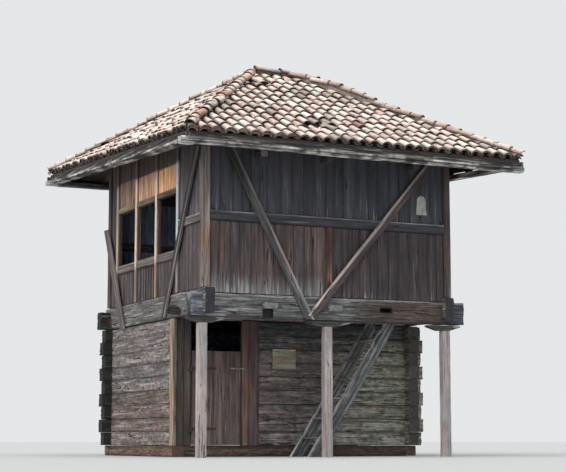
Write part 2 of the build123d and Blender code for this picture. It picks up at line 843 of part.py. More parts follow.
with BuildPart() as eaves_beams_long:
    long_x = (-eaves_beam_end, eaves_beam_end)
    timber("X", long_x, (beam_outer_y[0], beam_inside_y[0]), tall)
    timber("X", long_x, (beam_inside_y[1], beam_outer_y[1]), tall)
    fit_under_rafters(tile_top_front - eaves_beam_drop)
finish(eaves_beams_long, "eaves_beams_long")

with BuildPart() as eaves_beams_side:
    timber("Y", (beam_outer_x[0], beam_inside_x[0]), beam_inside_y, tall)
    timber("Y", (beam_inside_x[1], beam_outer_x[1]), beam_inside_y, tall)
    fit_under_rafters(tile_top_front - eaves_side_drop)
finish(eaves_beams_side, "eaves_beams_side")


def hip_strip(side, end, width):
    """The plan of a hip: a strip from an end of the ridge to a corner of the eaves."""
    start = Vector(side * ridge_half_length, 0)
    corner = Vector(side * eave_half_width, end)
    along = (corner - start).normalized()
    across = Vector(-along.Y, along.X) * (width / 2)
    tail = corner + along * width
    edges = (start + across, start - across, tail - across, tail + across)
    return [(edge.X, edge.Y) for edge in edges]


def part_at_hips(width):
    """Parts what is on the four slopes along the hips and the ridge, by a given width."""
    for side, end in corners:
        plan_outline(hip_strip(side, end, width), tall, mode=Mode.SUBTRACT)
    cut(ridge_x, span(0, width), tall)


def part_at_ridge_ends():
    """Parts the hips from each other and from the ridge."""
    past_ridge = ridge_half_length + piece_joint
    for side in (-1, 1):
        cut(sorted((side * ridge_half_length, side * past_ridge)), eave_ends, tall)
        cut(sorted((side * past_ridge, side * eave_half_width)), span(0, piece_joint), tall)


eave_ends = (eave_front, eave_back)
corners = [(side, end) for side in (-1, 1) for end in eave_ends]
deck_inset = tile_overhang + edge_board_thickness
rafter_layer = roof_layer(deck_inset, rafter_top, rafter_bottom)
ridge_x = (-ridge_half_length, ridge_half_length)

with BuildPart() as hip_rafters:
    for side, end in corners:
        plan_outline(hip_strip(side, end, hip_width), tall)
    cut(ridge_x, eave_ends, tall)
    timber("X", ridge_x, span(0, hip_width), tall)
    part_at_ridge_ends()
    add(rafter_layer, mode=Mode.INTERSECT)
finish(hip_rafters, "hip_rafters")


def rafter_rows(half_length):
    """The middles of the rafters along one slope."""
    count = int(half_length / rafter_pitch)
    return [rafter_pitch * row for row in range(-count, count + 1)]


def end_plan(side):
    """The plan of the left or the right slope."""
    return [
        (side * ridge_half_length, 0),
        (side * eave_half_width, eave_front),
        (side * eave_half_width, eave_back),
    ]


with BuildPart() as long_rafters:
    for rafter_x in rafter_rows(eave_half_width - rafter_width):
        timber("Y", span(rafter_x, rafter_width), eave_ends, tall)
    for side in (-1, 1):
        plan_outline(end_plan(side), tall, mode=Mode.SUBTRACT)
with BuildPart() as end_rafters:
    for rafter_y in rafter_rows(-eave_front - rafter_width):
        plank_x = (-eave_half_width, eave_half_width)
        timber("X", plank_x, span(rafter_y, rafter_width), tall)
    front_plan = [
        (-eave_half_width, eave_front),
        (eave_half_width, eave_front),
        (ridge_half_length, 0),
        (eave_half_width, eave_back),
        (-eave_half_width, eave_back),
        (-ridge_half_length, 0),
    ]
    plan_outline(front_plan, tall, mode=Mode.SUBTRACT)
with BuildPart() as rafters:
    add(long_rafters.part)
    add(end_rafters.part)
    add(rafter_layer, mode=Mode.INTERSECT)
    part_at_hips(hip_width)
finish(rafters, "rafters")

# Deck boards on the rafters, and boards around the eaves
with BuildPart() as roof_deck:
    add(roof_layer(deck_inset, tile_depth, rafter_top))
    part_at_hips(piece_joint)
finish(roof_deck, "roof_deck")

with BuildPart() as edge_boards:
    add(under_roof(tile_overhang, tile_depth))
    cut(*eave_bounds(deck_inset), tall)
    split(bisect_by=tilted(tile_top_front - tile_depth - edge_board_height), keep=Keep.TOP)
    add(eaves_beams_long.part, mode=Mode.SUBTRACT)
    part_at_hips(piece_joint)
finish(edge_boards, "edge_boards")



def tile_ribs(corners):
    """Round ribs up one slope, one for each column of tiles, joined by a thin strip under them."""
    first, second, third = (Vector(*corner) for corner in corners[:3])
    across = (second - first).normalized()
    normal = across.cross(third - first).normalized()
    up_slope = normal.cross(across)
    middle = (first + second) / 2
    columns = int((second - first).length / tile_pitch / 2)
    low = tile_relief * normal.Z
    deep = low + rib_root
    half = tile_rib_width / 2
    with BuildPart() as ribs:
        comb_plane = Plane(origin=middle - up_slope * tile_pitch, x_dir=across, z_dir=up_slope)
        with BuildSketch(comb_plane) as comb:
            with BuildLine():
                places = [tile_pitch * column for column in range(-columns, columns + 1)]
                for place in places:
                    ThreePointArc((place - half, low), (place, 0), (place + half, low))
                for place in places[:-1]:
                    Line((place + half, low), (place + tile_pitch - half, low))
                start, stop = places[0] - half, places[-1] + half
                Polyline((stop, low), (stop, deep), (start, deep), (start, low))
            make_face()
        extrude(comb.sketch, amount=eave_back - eave_front)
        plan_outline([corner[:2] for corner in corners], tall, mode=Mode.INTERSECT)
    return ribs.part


# Tiled covering of the four slopes, with ribs that stop at the caps
with BuildPart() as rib_layer:
    for corners_of_slope in slope_corners(0):
        add(tile_ribs(corners_of_slope))
    part_at_hips(2 * (cap_radius + piece_joint))
with BuildPart() as roof_tiles:
    add(roof_layer(0, tile_relief, tile_depth))
    part_at_hips(piece_joint)
    add(rib_layer.part)
finish(roof_tiles, "roof_tiles")

# Round caps along the ridge and the hips
with BuildPart() as roof_caps:
    with BuildSketch(Plane(origin=(-ridge_half_length, 0, ridge_height), z_dir=(1, 0, 0))) as ridge_cap:
        Circle(cap_radius)
    extrude(ridge_cap.sketch, amount=2 * ridge_half_length)
    for side, end in corners:
        start = Vector(side * ridge_half_length, 0, ridge_height)
        corner = Vector(side * eave_half_width, end, tilted_height(tile_top_front, end))
        with BuildSketch(Plane(origin=start, z_dir=corner - start)) as hip_cap:
            Circle(cap_radius)
        extrude(hip_cap.sketch, amount=(corner - start).length)
    add(under_roof(0, tile_relief), mode=Mode.SUBTRACT)
    timber("Z", *eave_bounds(0), tall, mode=Mode.INTERSECT)
    part_at_ridge_ends()
finish(roof_caps, "roof_caps")

# Small plates: one like a bell on the upper boards, a bare one on the logs
with BuildPart() as bell_plate:
    half = bell_width / 2
    bell_place = (upper_right - bell_inset, board_front, bell_bottom)
    with BuildSketch(Plane(origin=bell_place, x_dir=(1, 0, 0), z_dir=(0, -1, 0))) as bell:
        with BuildLine():
            Line((-half, 0), (half, 0))
            top = (0, bell_height)
            right_waist, left_waist = [(side * bell_waist / 2, bell_height / 2) for side in (1, -1)]
            rise = (bell_waist / 2 - half, bell_height / 2)
            Spline((half, 0), right_waist, top, tangents=[rise, (-1, 0)])
            drop = (bell_waist / 2 - half, -bell_height / 2)
            Spline(top, left_waist, (-half, 0), tangents=[(-1, 0), drop])
        make_face()
    extrude(bell.sketch, amount=bell_thickness)
finish(bell_plate, "bell_plate")

with BuildPart() as plaque:
    plaque_y = (ground_front - plaque_thickness, ground_front)
    plaque_x = span(front_log_start + plaque_offset, plaque_width)
    timber("Z", plaque_x, plaque_y, (plaque_bottom, plaque_bottom + plaque_height))
finish(plaque, "plaque")
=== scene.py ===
import math
import random

import bmesh
import bpy
import numpy as np
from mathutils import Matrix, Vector, noise


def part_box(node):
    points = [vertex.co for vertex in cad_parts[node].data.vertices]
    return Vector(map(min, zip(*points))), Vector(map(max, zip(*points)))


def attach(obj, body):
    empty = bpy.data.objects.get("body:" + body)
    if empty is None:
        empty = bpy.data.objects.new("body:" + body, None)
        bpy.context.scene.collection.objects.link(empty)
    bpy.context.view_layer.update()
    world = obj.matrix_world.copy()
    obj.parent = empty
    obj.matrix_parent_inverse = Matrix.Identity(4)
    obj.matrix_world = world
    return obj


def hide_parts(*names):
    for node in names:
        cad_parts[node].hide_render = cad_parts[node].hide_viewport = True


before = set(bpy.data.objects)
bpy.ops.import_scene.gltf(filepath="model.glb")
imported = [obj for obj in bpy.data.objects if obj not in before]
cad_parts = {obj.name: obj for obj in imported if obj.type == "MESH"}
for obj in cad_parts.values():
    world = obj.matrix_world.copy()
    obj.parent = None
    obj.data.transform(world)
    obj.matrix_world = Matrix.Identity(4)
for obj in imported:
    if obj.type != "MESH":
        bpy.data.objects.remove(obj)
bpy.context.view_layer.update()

# Metres, in the frame of the CAD part. X runs along the front, which faces -Y. Z = 0 is the ground

# Where the camera of the photograph stood
image_width = 566
focal_length_px = 1560
sensor_width_mm = 36
camera_place = (-11.342, -24.542, 0.25)
camera_yaw = math.radians(25.34)
camera_pitch = math.radians(7.493)

UP = Vector((0, 0, 1))
ALONG_X = Vector((1, 0, 0))
ALONG_Y = Vector((0, 1, 0))
AXES = (ALONG_X, ALONG_Y, UP)


def tone(red, green, blue):
    """A colour written as 0 to 255 on a screen, as linear values."""
    return tuple((value / 255) ** 2.2 for value in (red, green, blue))


def mixed(first, second, share):
    """A colour between two others."""
    return tuple(a + (b - a) * share for a, b in zip(first, second))


def scaled(colour, factor):
    """A colour made lighter or darker."""
    return tuple(value * factor for value in colour)


def full(colour):
    """A colour with its alpha."""
    return (*colour, 1.0)


def ramp(value, start, stop):
    """0 before start, 1 past stop and a straight rise between. Start may be the higher of the two."""
    return min(1.0, max(0.0, (value - start) / (stop - start)))


def placed(name, data):
    """A new object in the scene."""
    made = bpy.data.objects.new(name, data)
    bpy.context.scene.collection.objects.link(made)
    return made


# Colours of the timbers
MAUVE_GREY = tone(128, 118, 114)
RED_BROWN = tone(112, 84, 70)
DARK_BROWN = tone(82, 70, 64)
BLACK_BROWN = tone(62, 58, 58)
# Near black of the log tails, a painted shade
TAIL_SHADOW = tone(46, 48, 44)
PALE_GREY = tone(176, 168, 162)
WHITISH = tone(205, 200, 194)

# Colours of the tiles
TILE_CREAM = tone(255, 241, 224)
TILE_PINK = tone(244, 213, 198)
TILE_ORANGE = tone(226, 160, 112)
TILE_RED = tone(186, 132, 114)
TILE_GREY = tone(186, 172, 160)


class Shader:
    """Builds a node material step by step."""

    def __init__(self, name):
        self.material = bpy.data.materials.new(name)
        self.material.use_nodes = True
        self.tree = self.material.node_tree
        self.surface = self.tree.nodes["Principled BSDF"]

    def node(self, kind, **inputs):
        """A node, with values or links for some of its inputs."""
        made = self.tree.nodes.new(kind)
        for socket, value in inputs.items():
            self.put(made.inputs[socket.replace("_", " ")], value)
        return made

    def put(self, socket, value):
        """Links a socket, or sets its value."""
        if isinstance(value, bpy.types.NodeSocket):
            self.tree.links.new(value, socket)
        else:
            socket.default_value = value

    def step(self, kind, operation, *values):
        """A node for one operation, with values or links for its first inputs."""
        made = self.tree.nodes.new(kind)
        made.operation = operation
        for socket, value in zip(made.inputs, values):
            self.put(socket, value)
        return made

    def fields(self):
        """The grain, tint and bleaching that the points of a piece carry; on tiles the bleaching field holds
        painted shade.
        """
        found = []
        for name, output in (("grain", "Vector"), ("tint", "Color"), ("bleach", "Fac")):
            made = self.tree.nodes.new("ShaderNodeAttribute")
            made.attribute_name = name
            found.append(made.outputs[output])
        return found

    def place(self):
        """Coordinates of the object, in metres."""
        return self.tree.nodes.new("ShaderNodeTexCoord").outputs["Object"]

    def scaled(self, vector, scale):
        """A vector times another."""
        return self.step("ShaderNodeVectorMath", "MULTIPLY", vector, scale).outputs[0]

    def noise(self, vector, scale=1.0, detail=3.0, rough=0.55, bend=0.0):
        """Cloudy noise between 0 and 1."""
        made = self.node("ShaderNodeTexNoise", Vector=vector, Scale=scale, Detail=detail)
        made.inputs["Roughness"].default_value = rough
        made.inputs["Distortion"].default_value = bend
        return made.outputs["Fac"]

    def grained(self, grain, along, across, **options):
        """Noise stretched along the grain."""
        return self.noise(self.scaled(grain, (along, across, across)), **options)

    def math(self, operation, first, second=0.0, third=0.0):
        """One step of arithmetic."""
        return self.step("ShaderNodeMath", operation, first, second, third).outputs[0]

    def times(self, first, second):
        """One value times another."""
        return self.math("MULTIPLY", first, second)

    def line(self, value, factor, offset):
        """A value times a factor, plus an offset."""
        return self.math("MULTIPLY_ADD", value, factor, offset)

    def between(self, value, low, high, out_low=0.0, out_high=1.0):
        """A smooth step from one value to another while the input goes from low to high."""
        made = self.tree.nodes.new("ShaderNodeMapRange")
        made.interpolation_type = "SMOOTHSTEP"
        for socket, given in zip(made.inputs, (value, low, high, out_low, out_high)):
            self.put(socket, given)
        return made.outputs[0]

    def mix(self, share, first, second):
        """Two colours mixed."""
        made = self.tree.nodes.new("ShaderNodeMix")
        made.data_type = "RGBA"
        self.put(made.inputs[0], share)
        self.put(made.inputs[6], first)
        self.put(made.inputs[7], second)
        return made.outputs[2]

    def lighten(self, colour, amount):
        """A colour times a number."""
        linked = isinstance(colour, bpy.types.NodeSocket)
        made = self.step("ShaderNodeVectorMath", "SCALE", colour if linked else colour[:3])
        self.put(made.inputs["Scale"], amount)
        return made.outputs[0]

    def finish(self, colour, roughness, height, depth):
        """Sets the surface, with bumps of a depth in metres."""
        self.put(self.surface.inputs["Base Color"], colour)
        self.put(self.surface.inputs["Roughness"], roughness)
        bump = self.node("ShaderNodeBump", Height=height)
        bump.inputs["Strength"].default_value = 1.0
        bump.inputs["Distance"].default_value = depth
        self.put(self.surface.inputs["Normal"], bump.outputs[0])
        return self.material


def old_wood(name, contrast=1.0, cracks=0.5, depth=0.004, mottle=0.0, warmth=0.6):
    """Weathered wood: fibres, streaks and cracks along each timber, pale streaks where it is bleached."""
    shader = Shader(name)
    grain, tint, bleach = shader.fields()
    fibre = shader.grained(grain, 3.0, 90.0, detail=3.0)
    streak = shader.grained(grain, 1.2, 24.0, detail=4.0, rough=0.65, bend=0.3)
    patch = shader.grained(grain, 1.1, 5.0, detail=3.0)
    warm = shader.grained(grain, 0.7, 11.0, scale=1.7, detail=3.0)
    amount = shader.line(fibre, 1.6 * contrast, 1.0 - 0.8 * contrast)
    for field, strength in ((streak, 3.2 * contrast), (patch, 1.8 * contrast)):
        factor = shader.line(field, strength, 1.0 - strength / 2)
        amount = shader.times(amount, factor)
    if mottle:
        spots = shader.grained(grain, 9.0, 16.0, detail=4.0, rough=0.7)
        factor = shader.line(spots, 4.0 * mottle, 1.0 - 2.0 * mottle)
        amount = shader.times(amount, factor)
    amount = shader.math("MAXIMUM", amount, 0.15)
    colour = shader.lighten(tint, amount)
    redder = shader.scaled(colour, (1.28, 0.94, 0.8))
    colour = shader.mix(shader.between(warm, 0.46, 0.64, 0.0, warmth), colour, redder)
    pale_field = shader.math("ADD", shader.between(streak, 0.3, 0.7), bleach)
    pale_share = shader.between(pale_field, 0.92, 1.3, 0.0, 0.8)
    pale_share = shader.times(pale_share, shader.between(fibre, 0.32, 0.55, 0.35, 1.0))
    colour = shader.mix(pale_share, colour, full(tone(184, 180, 178)))
    split_field = shader.grained(grain, 0.8, 15.0, detail=2.0, bend=0.5)
    split_line = shader.math("ABSOLUTE", shader.math("SUBTRACT", split_field, 0.5))
    split_width = shader.between(patch, 0.62 - 0.25 * cracks, 0.72, 0.0, 0.03)
    split = shader.math("LESS_THAN", split_line, split_width)
    colour = shader.mix(shader.times(split, 0.85), colour, full(tone(24, 20, 18)))
    height = shader.line(streak, 0.6, shader.times(fibre, 0.35))
    height = shader.math("SUBTRACT", height, shader.times(split, 0.8))
    roughness = shader.between(streak, 0.3, 0.7, 0.72, 0.95)
    return shader.finish(colour, roughness, height, depth)


def end_wood(name):
    """Sawn and weathered end grain, with rings about the pith and cracks out of it."""
    shader = Shader(name)
    grain, tint, _ = shader.fields()
    across = shader.scaled(grain, (0.0, 1.0, 1.0))
    wobble = shader.noise(across, scale=18.0, detail=2.0)
    distance = shader.step("ShaderNodeVectorMath", "LENGTH", across).outputs["Value"]
    radius = shader.line(wobble, 0.02, distance)
    ring = shader.math("SINE", shader.times(radius, 520.0))
    parts = shader.node("ShaderNodeSeparateXYZ", Vector=grain)
    angle = shader.math("ARCTAN2", parts.outputs["Y"], parts.outputs["Z"])
    spokes = shader.node("ShaderNodeCombineXYZ", X=shader.times(angle, 2.2), Y=radius)
    check = shader.noise(spokes.outputs[0], scale=2.0, detail=3.0, bend=0.2)
    check_line = shader.math("ABSOLUTE", shader.math("SUBTRACT", check, 0.5))
    split = shader.between(check_line, 0.0, 0.02, 1.0, 0.0)
    amount = shader.line(ring, 0.12, 0.95)
    amount = shader.times(amount, shader.line(wobble, 0.9, 0.5))
    colour = shader.lighten(tint, amount)
    colour = shader.mix(shader.times(split, 0.8), colour, full(tone(26, 22, 20)))
    height = shader.math("SUBTRACT", shader.times(ring, 0.15), split)
    return shader.finish(colour, 0.9, height, 0.004)


def clay(name):
    """Old clay: pale with lichen and dust, darker in patches, with fine pits, and near black where the
    points carry painted shade.
    """
    shader = Shader(name)
    place = shader.place()
    _, tint, shade = shader.fields()
    cloud = shader.noise(place, scale=7.0, detail=5.0, rough=0.65)
    spots = shader.noise(place, scale=38.0, detail=4.0, rough=0.7)
    pits = shader.noise(place, scale=160.0, detail=2.0)
    amount = shader.line(cloud, 1.3, 0.35)
    colour = shader.lighten(tint, amount)
    lichen = shader.between(spots, 0.54, 0.64, 0.0, 0.7)
    colour = shader.mix(lichen, colour, full(tone(232, 224, 212)))
    moss = shader.between(shader.math("ADD", spots, cloud), 0.9, 0.76, 0.0, 0.8)
    colour = shader.mix(moss, colour, full(tone(92, 78, 70)))
    colour = shader.mix(shade, colour, full(tone(24, 18, 18)))
    height = shader.line(spots, 0.5, shader.times(pits, 0.4))
    return shader.finish(colour, 0.9, height, 0.004)


def rusty_iron(name, bare=(58, 54, 52), rust=(84, 66, 56)):
    """Wrought iron with brown rust."""
    shader = Shader(name)
    place = shader.place()
    cloud = shader.noise(place, scale=45.0, detail=4.0)
    grit = shader.noise(place, scale=300.0, detail=2.0)
    colour = shader.mix(shader.between(cloud, 0.4, 0.62), full(tone(*bare)), full(tone(*rust)))
    shader.surface.inputs["Metallic"].default_value = 0.35
    height = shader.math("ADD", cloud, grit)
    return shader.finish(colour, shader.between(cloud, 0.3, 0.7, 0.5, 0.85), height, 0.0015)


def worn_paint(name):
    """Flat pale paint that has gone dull and stained."""
    shader = Shader(name)
    place = shader.place()
    cloud = shader.noise(place, scale=11.0, detail=4.0)
    drips = shader.noise(shader.scaled(place, (60.0, 60.0, 6.0)), detail=3.0)
    dull, bright, stain = (full(tone(*rgb)) for rgb in ((164, 166, 160), (184, 184, 176), (104, 98, 88)))
    colour = shader.mix(shader.between(cloud, 0.35, 0.65), dull, bright)
    colour = shader.mix(shader.between(drips, 0.55, 0.75, 0.0, 0.5), colour, stain)
    return shader.finish(colour, 0.7, cloud, 0.001)


def sheltered_wood(name):
    """Dark dry wood under the roof, its grain along the length of each CAD timber."""
    shader = Shader(name)
    place = shader.place()
    streak = shader.noise(shader.scaled(place, (9.0, 3.0, 9.0)), detail=5.0, rough=0.65)
    fibre = shader.noise(shader.scaled(place, (60.0, 12.0, 60.0)), detail=3.0)
    amount = shader.line(streak, 1.2, shader.times(fibre, 0.5))
    colour = shader.lighten(full(tone(74, 64, 58)), amount)
    return shader.finish(colour, 0.9, streak, 0.004)


WOOD = old_wood("weathered_wood")
BLACK_WOOD = old_wood("blackened_wood", contrast=0.7, warmth=0.15)
ROUGH_WOOD = old_wood("rough_hewn_wood", contrast=1.2, cracks=1.0, depth=0.008, mottle=0.5, warmth=0.3)
LOG_WOOD = old_wood("squared_log_wood", contrast=1.0, cracks=0.9, depth=0.01, mottle=0.9, warmth=0.4)
SMOOTH_WOOD = old_wood("planed_wood", contrast=0.65, cracks=0.3, depth=0.003, mottle=0.2)
END = end_wood("end_grain")
TILE = clay("old_clay")
IRON = rusty_iron("rusty_iron")
WORN_IRON = rusty_iron("worn_iron", bare=(146, 142, 138), rust=(104, 94, 86))
PAINT = worn_paint("pale_paint")
DRY_WOOD = sheltered_wood("sheltered_wood")


# Timbers
corner_lean = 0.35
smallest_round_edge = 0.012
corner_cut = 0.29
diagonal = 0.7071


def section(width, depth, edge, across_steps, depth_steps):
    """Points and outward directions around a rectangle with cut edges."""
    half_b, half_c = width / 2, depth / 2
    edge = min(edge, half_b * 0.9, half_c * 0.9)
    points, outward = [], []
    sides = (
        ((-1, -1), (1, -1), (0, -1), across_steps),
        ((1, -1), (1, 1), (1, 0), depth_steps),
        ((1, 1), (-1, 1), (0, 1), across_steps),
        ((-1, 1), (-1, -1), (-1, 0), depth_steps),
    )
    for start, stop, face, steps in sides:
        along = (stop[0] - start[0], stop[1] - start[1])
        first = (start[0] * half_b, start[1] * half_c)
        last = (stop[0] * half_b, stop[1] * half_c)
        length = math.hypot(last[0] - first[0], last[1] - first[1])
        for step in range(steps + 1):
            share = (edge + (length - 2 * edge) * step / steps) / length
            points.append(tuple(a + (b - a) * share for a, b in zip(first, last)))
            lean = {steps: corner_lean, 0: -corner_lean}.get(step, 0.0)
            direction = Vector((face[0] + along[0] / 2 * lean, face[1] + along[1] / 2 * lean))
            outward.append(tuple(direction.normalized()))
        if edge > smallest_round_edge:
            points.append(tuple(a - edge * corner_cut * b for a, b in zip(last, stop)))
            outward.append((stop[0] * diagonal, stop[1] * diagonal))
    return points, outward


# The third field is bleaching on wood, and painted shade on the tiles
POINT_FIELDS = (
    ("grain", "FLOAT_VECTOR", "vector"), ("tint", "FLOAT_COLOR", "color"), ("bleach", "FLOAT", "value"),
)


class Piece:
    """Gathers the timbers or tiles of one visible piece, and the grain, tint and bleaching of each point,
    which on tiles is painted shade.
    """

    def __init__(self, name, seed):
        self.name = name
        self.random = random.Random(seed)
        self.points, self.faces, self.slots = [], [], []
        self.grain, self.tint, self.bleach = [], [], []

    def shape(self, points, faces, slots, grain, tint, bleach):
        """Adds points and faces, with what each of them carries."""
        start = len(self.points)
        self.faces += [[start + corner for corner in face] for face in faces]
        for kept, added in ((self.points, points), (self.slots, slots), (self.grain, grain),
                            (self.tint, tint), (self.bleach, bleach)):
            kept.extend(added)

    def timber(self, start, along, across, length, width, depth, tint, edge=0.01, warp=0.004, rough=0.002,
               bow=0.0, step=0.11, across_steps=3, depth_steps=2, end_slope=(0.0, 0.0), end_rough=0.004,
               end_tint=None, bleach=None, profile=None, shade=None, grime=(0.0, 0.0), joint_wear=1.0):
        """A hewn timber from the middle of its start face, worn inwards. Grime darkens its long edges, and a
        negative share makes an edge paler, which on hewn beams is a painted highlight.
        """
        rng = self.random
        out = along.cross(across).normalized()
        seed = Vector([rng.uniform(-50, 50) for _ in range(3)])
        pith = [rng.uniform(-0.2, 0.2) * size for size in (width, depth)]
        stations = max(2, int(length / step) + 1)
        grime_reach = max(edge * 1.05, 0.006)
        ring, outward = section(width, depth, edge, across_steps, depth_steps)
        count = len(ring)
        points, grain, tints, pale, faces = [], [], [], [], []
        for station in range(stations + 1):
            share = station / stations
            wide, deep, shift_b, shift_c = profile(share) if profile else (1.0, 1.0, 0.0, 0.0)
            bow_b = bow * noise.noise(Vector((share * length * 0.5, 0, 0)) + seed)
            bow_c = bow * noise.noise(Vector((share * length * 0.5, 9, 0)) + seed)
            for (b, c), (nb, nc) in zip(ring, outward):
                a_low = end_slope[0] * b
                a_high = length + end_slope[1] * b
                a = a_low + (a_high - a_low) * share
                spot = Vector((a, b, c))
                broad = noise.noise(Vector((a * 1.3, b * 5, c * 5)) + seed)
                small = noise.noise(Vector((a * 7, b * 26, c * 26)) + seed)
                worn = warp * (0.5 + 0.6 * broad) + rough * (0.5 + 0.7 * small)
                if station in (0, stations):
                    a += end_rough * noise.noise(spot * 30 + seed) * (1 if station else -1)
                b_at = b * wide + shift_b + bow_b - nb * worn * joint_wear
                c_at = c * deep + shift_c + bow_c - nc * worn
                world = start + along * a + across * b_at + out * c_at
                world.z = max(world.z, 0.0)
                points.append(world)
                grain.append((a + seed.x, b + seed.y, c + seed.z))
                colour = shade(tint, world) if shade else tint
                edge_tone = 1 - grime[b > 0] if abs(b) > width / 2 - grime_reach else 1.0
                tints.append(scaled(colour, edge_tone))
                pale.append(bleach(world) if callable(bleach) else (bleach or 0.0))
        for low in range(0, stations * count, count):
            high = low + count
            for corner in range(count):
                following = (corner + 1) % count
                faces.append([low + corner, low + following, high + following, high + corner])
        for station in (0, stations):
            base = len(points)
            rim = points[station * count:(station + 1) * count]
            points += [point.copy() for point in rim] + [sum(rim, Vector()) / count]
            grain += [(seed.x, b - pith[0], c - pith[1]) for b, c in ring + [(0.0, 0.0)]]
            tints += [end_tint or tint] * (count + 1)
            pale += [0.0] * (count + 1)
            for corner in range(count):
                face = [base + corner, base + (corner + 1) % count, base + count]
                faces.append(face if station else face[::-1])
        slots = [0] * (stations * count) + [1] * (2 * count)
        self.shape(points, faces, slots, grain, tints, pale)

    def boxed(self, axis, low, high, tint, **options):
        """A timber that fills the box between two corners, along one axis."""
        order = {"X": (0, 2, 1), "Y": (1, 2, 0), "Z": (2, 0, 1)}[axis]
        length, width, depth = ((high - low)[index] for index in order)
        start = (low + high) / 2
        start[order[0]] = low[order[0]]
        self.timber(start, AXES[order[0]], AXES[order[1]], length, width, depth, tint, **options)

    def make(self, slot, nodes, *materials, body="building", angle=40):
        """Turns what was gathered into one object that rides on a body and stands for its CAD nodes."""
        mesh = bpy.data.meshes.new(self.name)
        mesh.from_pydata([tuple(p) for p in self.points], [], self.faces)
        mesh.polygons.foreach_set("material_index", self.slots)
        for material in materials:
            mesh.materials.append(material)
        colours = [full(colour) for colour in self.tint]
        for (name, kind, field), values in zip(POINT_FIELDS, (self.grain, colours, self.bleach)):
            layer = mesh.attributes.new(name, kind, "POINT")
            layer.data.foreach_set(field, np.array(values, np.float32).ravel())
        mesh.update()
        mesh.shade_smooth()
        mesh.set_sharp_from_angle(angle=math.radians(angle))
        made = placed(self.name, mesh)
        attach(made, body)
        if nodes:
            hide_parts(*nodes)
        return made


def solids(node):
    """The lowest and highest corner of each separate solid in a CAD node, in order of height."""
    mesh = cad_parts[node].data
    places = np.array([v.co for v in mesh.vertices]).round(4)
    unique, same = np.unique(places, axis=0, return_inverse=True)
    ends = same.ravel()[[edge.vertices[:] for edge in mesh.edges]].T
    group = np.arange(len(unique))
    while (group[ends[0]] != group[ends[1]]).any():
        least = group[ends].min(0)
        for end in ends:
            np.minimum.at(group, end, least)
    solids_found = [unique[group == number] for number in np.unique(group)]
    boxes = [(Vector(corners.min(0)), Vector(corners.max(0))) for corners in solids_found]
    return sorted(boxes, key=lambda box: [round(box[0][index], 3) for index in (2, 0, 1)])


def varied(rng, *colours, spread=0.12):
    """One of some colours, a little lighter or darker."""
    chosen = rng.choice(colours)
    return scaled(chosen, 1 + rng.uniform(-spread, spread))


def broken(place):
    """A share from 0 to 1 that comes and goes over a few centimetres, for streaks that are worn through."""
    return ramp(noise.noise(place * 4.1) + 0.6 * noise.noise(place * 13.7), -0.25, 0.3)


# Log walls and sills of the ground storey
def log_wall(node, axis, seed, *colours, **options):
    """Squared logs, one in each solid of a CAD node."""
    piece = Piece(node.replace("log_wall", "logs"), seed)
    for low, high in solids(node):
        tint = varied(piece.random, *colours, spread=0.18)
        settings = dict(edge=0.013, warp=0.012, rough=0.008, bow=0.004, step=0.06, across_steps=6,
                        depth_steps=3, grime=(0.3, 0.35), joint_wear=0.15, end_rough=0.015,
                        end_tint=mixed(tint, BLACK_BROWN, 0.5))
        piece.boxed(axis, low, high, tint, **{**settings, **options})
    piece.make("log_wood", [node], LOG_WOOD, END)


def graded(*steps):
    """A shade that mixes colours in. A step is a colour, its share, an axis and where it starts and ends."""
    def shade(tint, place):
        for colour, share, axis, start, stop in steps:
            tint = mixed(tint, colour, share * ramp(place["XYZ".index(axis)], start, stop))
        return tint
    return shade


# The left logs are browner at the foot, and painted near black as shade at the tails behind
left_log_shade = graded((RED_BROWN, 0.25, "Z", 0.9, 0.2), (TAIL_SHADOW, 1, "Y", 1.76, 1.86))
patch_x, patch_z = 1.02, 1.33


def front_log_shade(tint, place):
    """The front logs are greenish grey at the right, pale in streaks at the foot, with one brown patch, and
    dark under the upper floor with painted shade.
    """
    tint = mixed(tint, tone(150, 153, 137), 0.85 * ramp(place.x, 0.5, 1.3))
    tint = mixed(tint, tone(160, 158, 152), 0.6 * ramp(place.z, 0.56, 0.5) * broken(place))
    from_patch = math.hypot(place.x - patch_x, (place.z - patch_z) * 2)
    tint = mixed(tint, tone(132, 92, 78), 0.8 * ramp(from_patch, 0.16, 0.08))
    return mixed(tint, tone(50, 58, 62), 0.85 * ramp(place.z, 1.7, 2.05))


room_half_width, room_back = 2.2, 2.1


def inner_side(low, high, outside=None):
    """The face of a wall that looks into the building is painted a pale bluish grey, as painted sky light in
    the room.
    """
    middle = (low + high) / 2
    index = 0 if high.x - low.x < high.y - low.y else 1
    inwards = -1 if middle[index] > 0 else 1

    def shade(tint, place):
        inside = (place[index] - middle[index]) * inwards > (high[index] - low[index]) * 0.3
        if inside and abs(place.x) < room_half_width and place.y < room_back:
            return tone(124, 138, 164)
        return outside(tint, place) if outside else tint
    return shade


log_wall("log_wall_left", "Y", 11, tone(110, 105, 104), tone(126, 119, 116), tone(116, 104, 96),
         bleach=0.18, shade=left_log_shade)
log_wall("log_wall_right", "Y", 12, tone(116, 110, 104), tone(108, 104, 96), bleach=0.12)
back_low, back_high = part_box("log_wall_back")
inner_back = inner_side(back_low, back_high)


def back_log_shade(tint, place):
    """The back logs are painted near black, as shade, where their tails stand out at the sides."""
    return TAIL_SHADOW if abs(place.x) > 2.03 else inner_back(tint, place)


log_wall("log_wall_back", "X", 13, tone(92, 88, 82), tone(84, 80, 76), bleach=0.05, end_tint=TAIL_SHADOW,
         shade=back_log_shade)
log_wall("log_wall_front", "X", 14, tone(112, 105, 103), tone(103, 98, 95), tone(121, 114, 110),
         bleach=0.1, shade=front_log_shade)


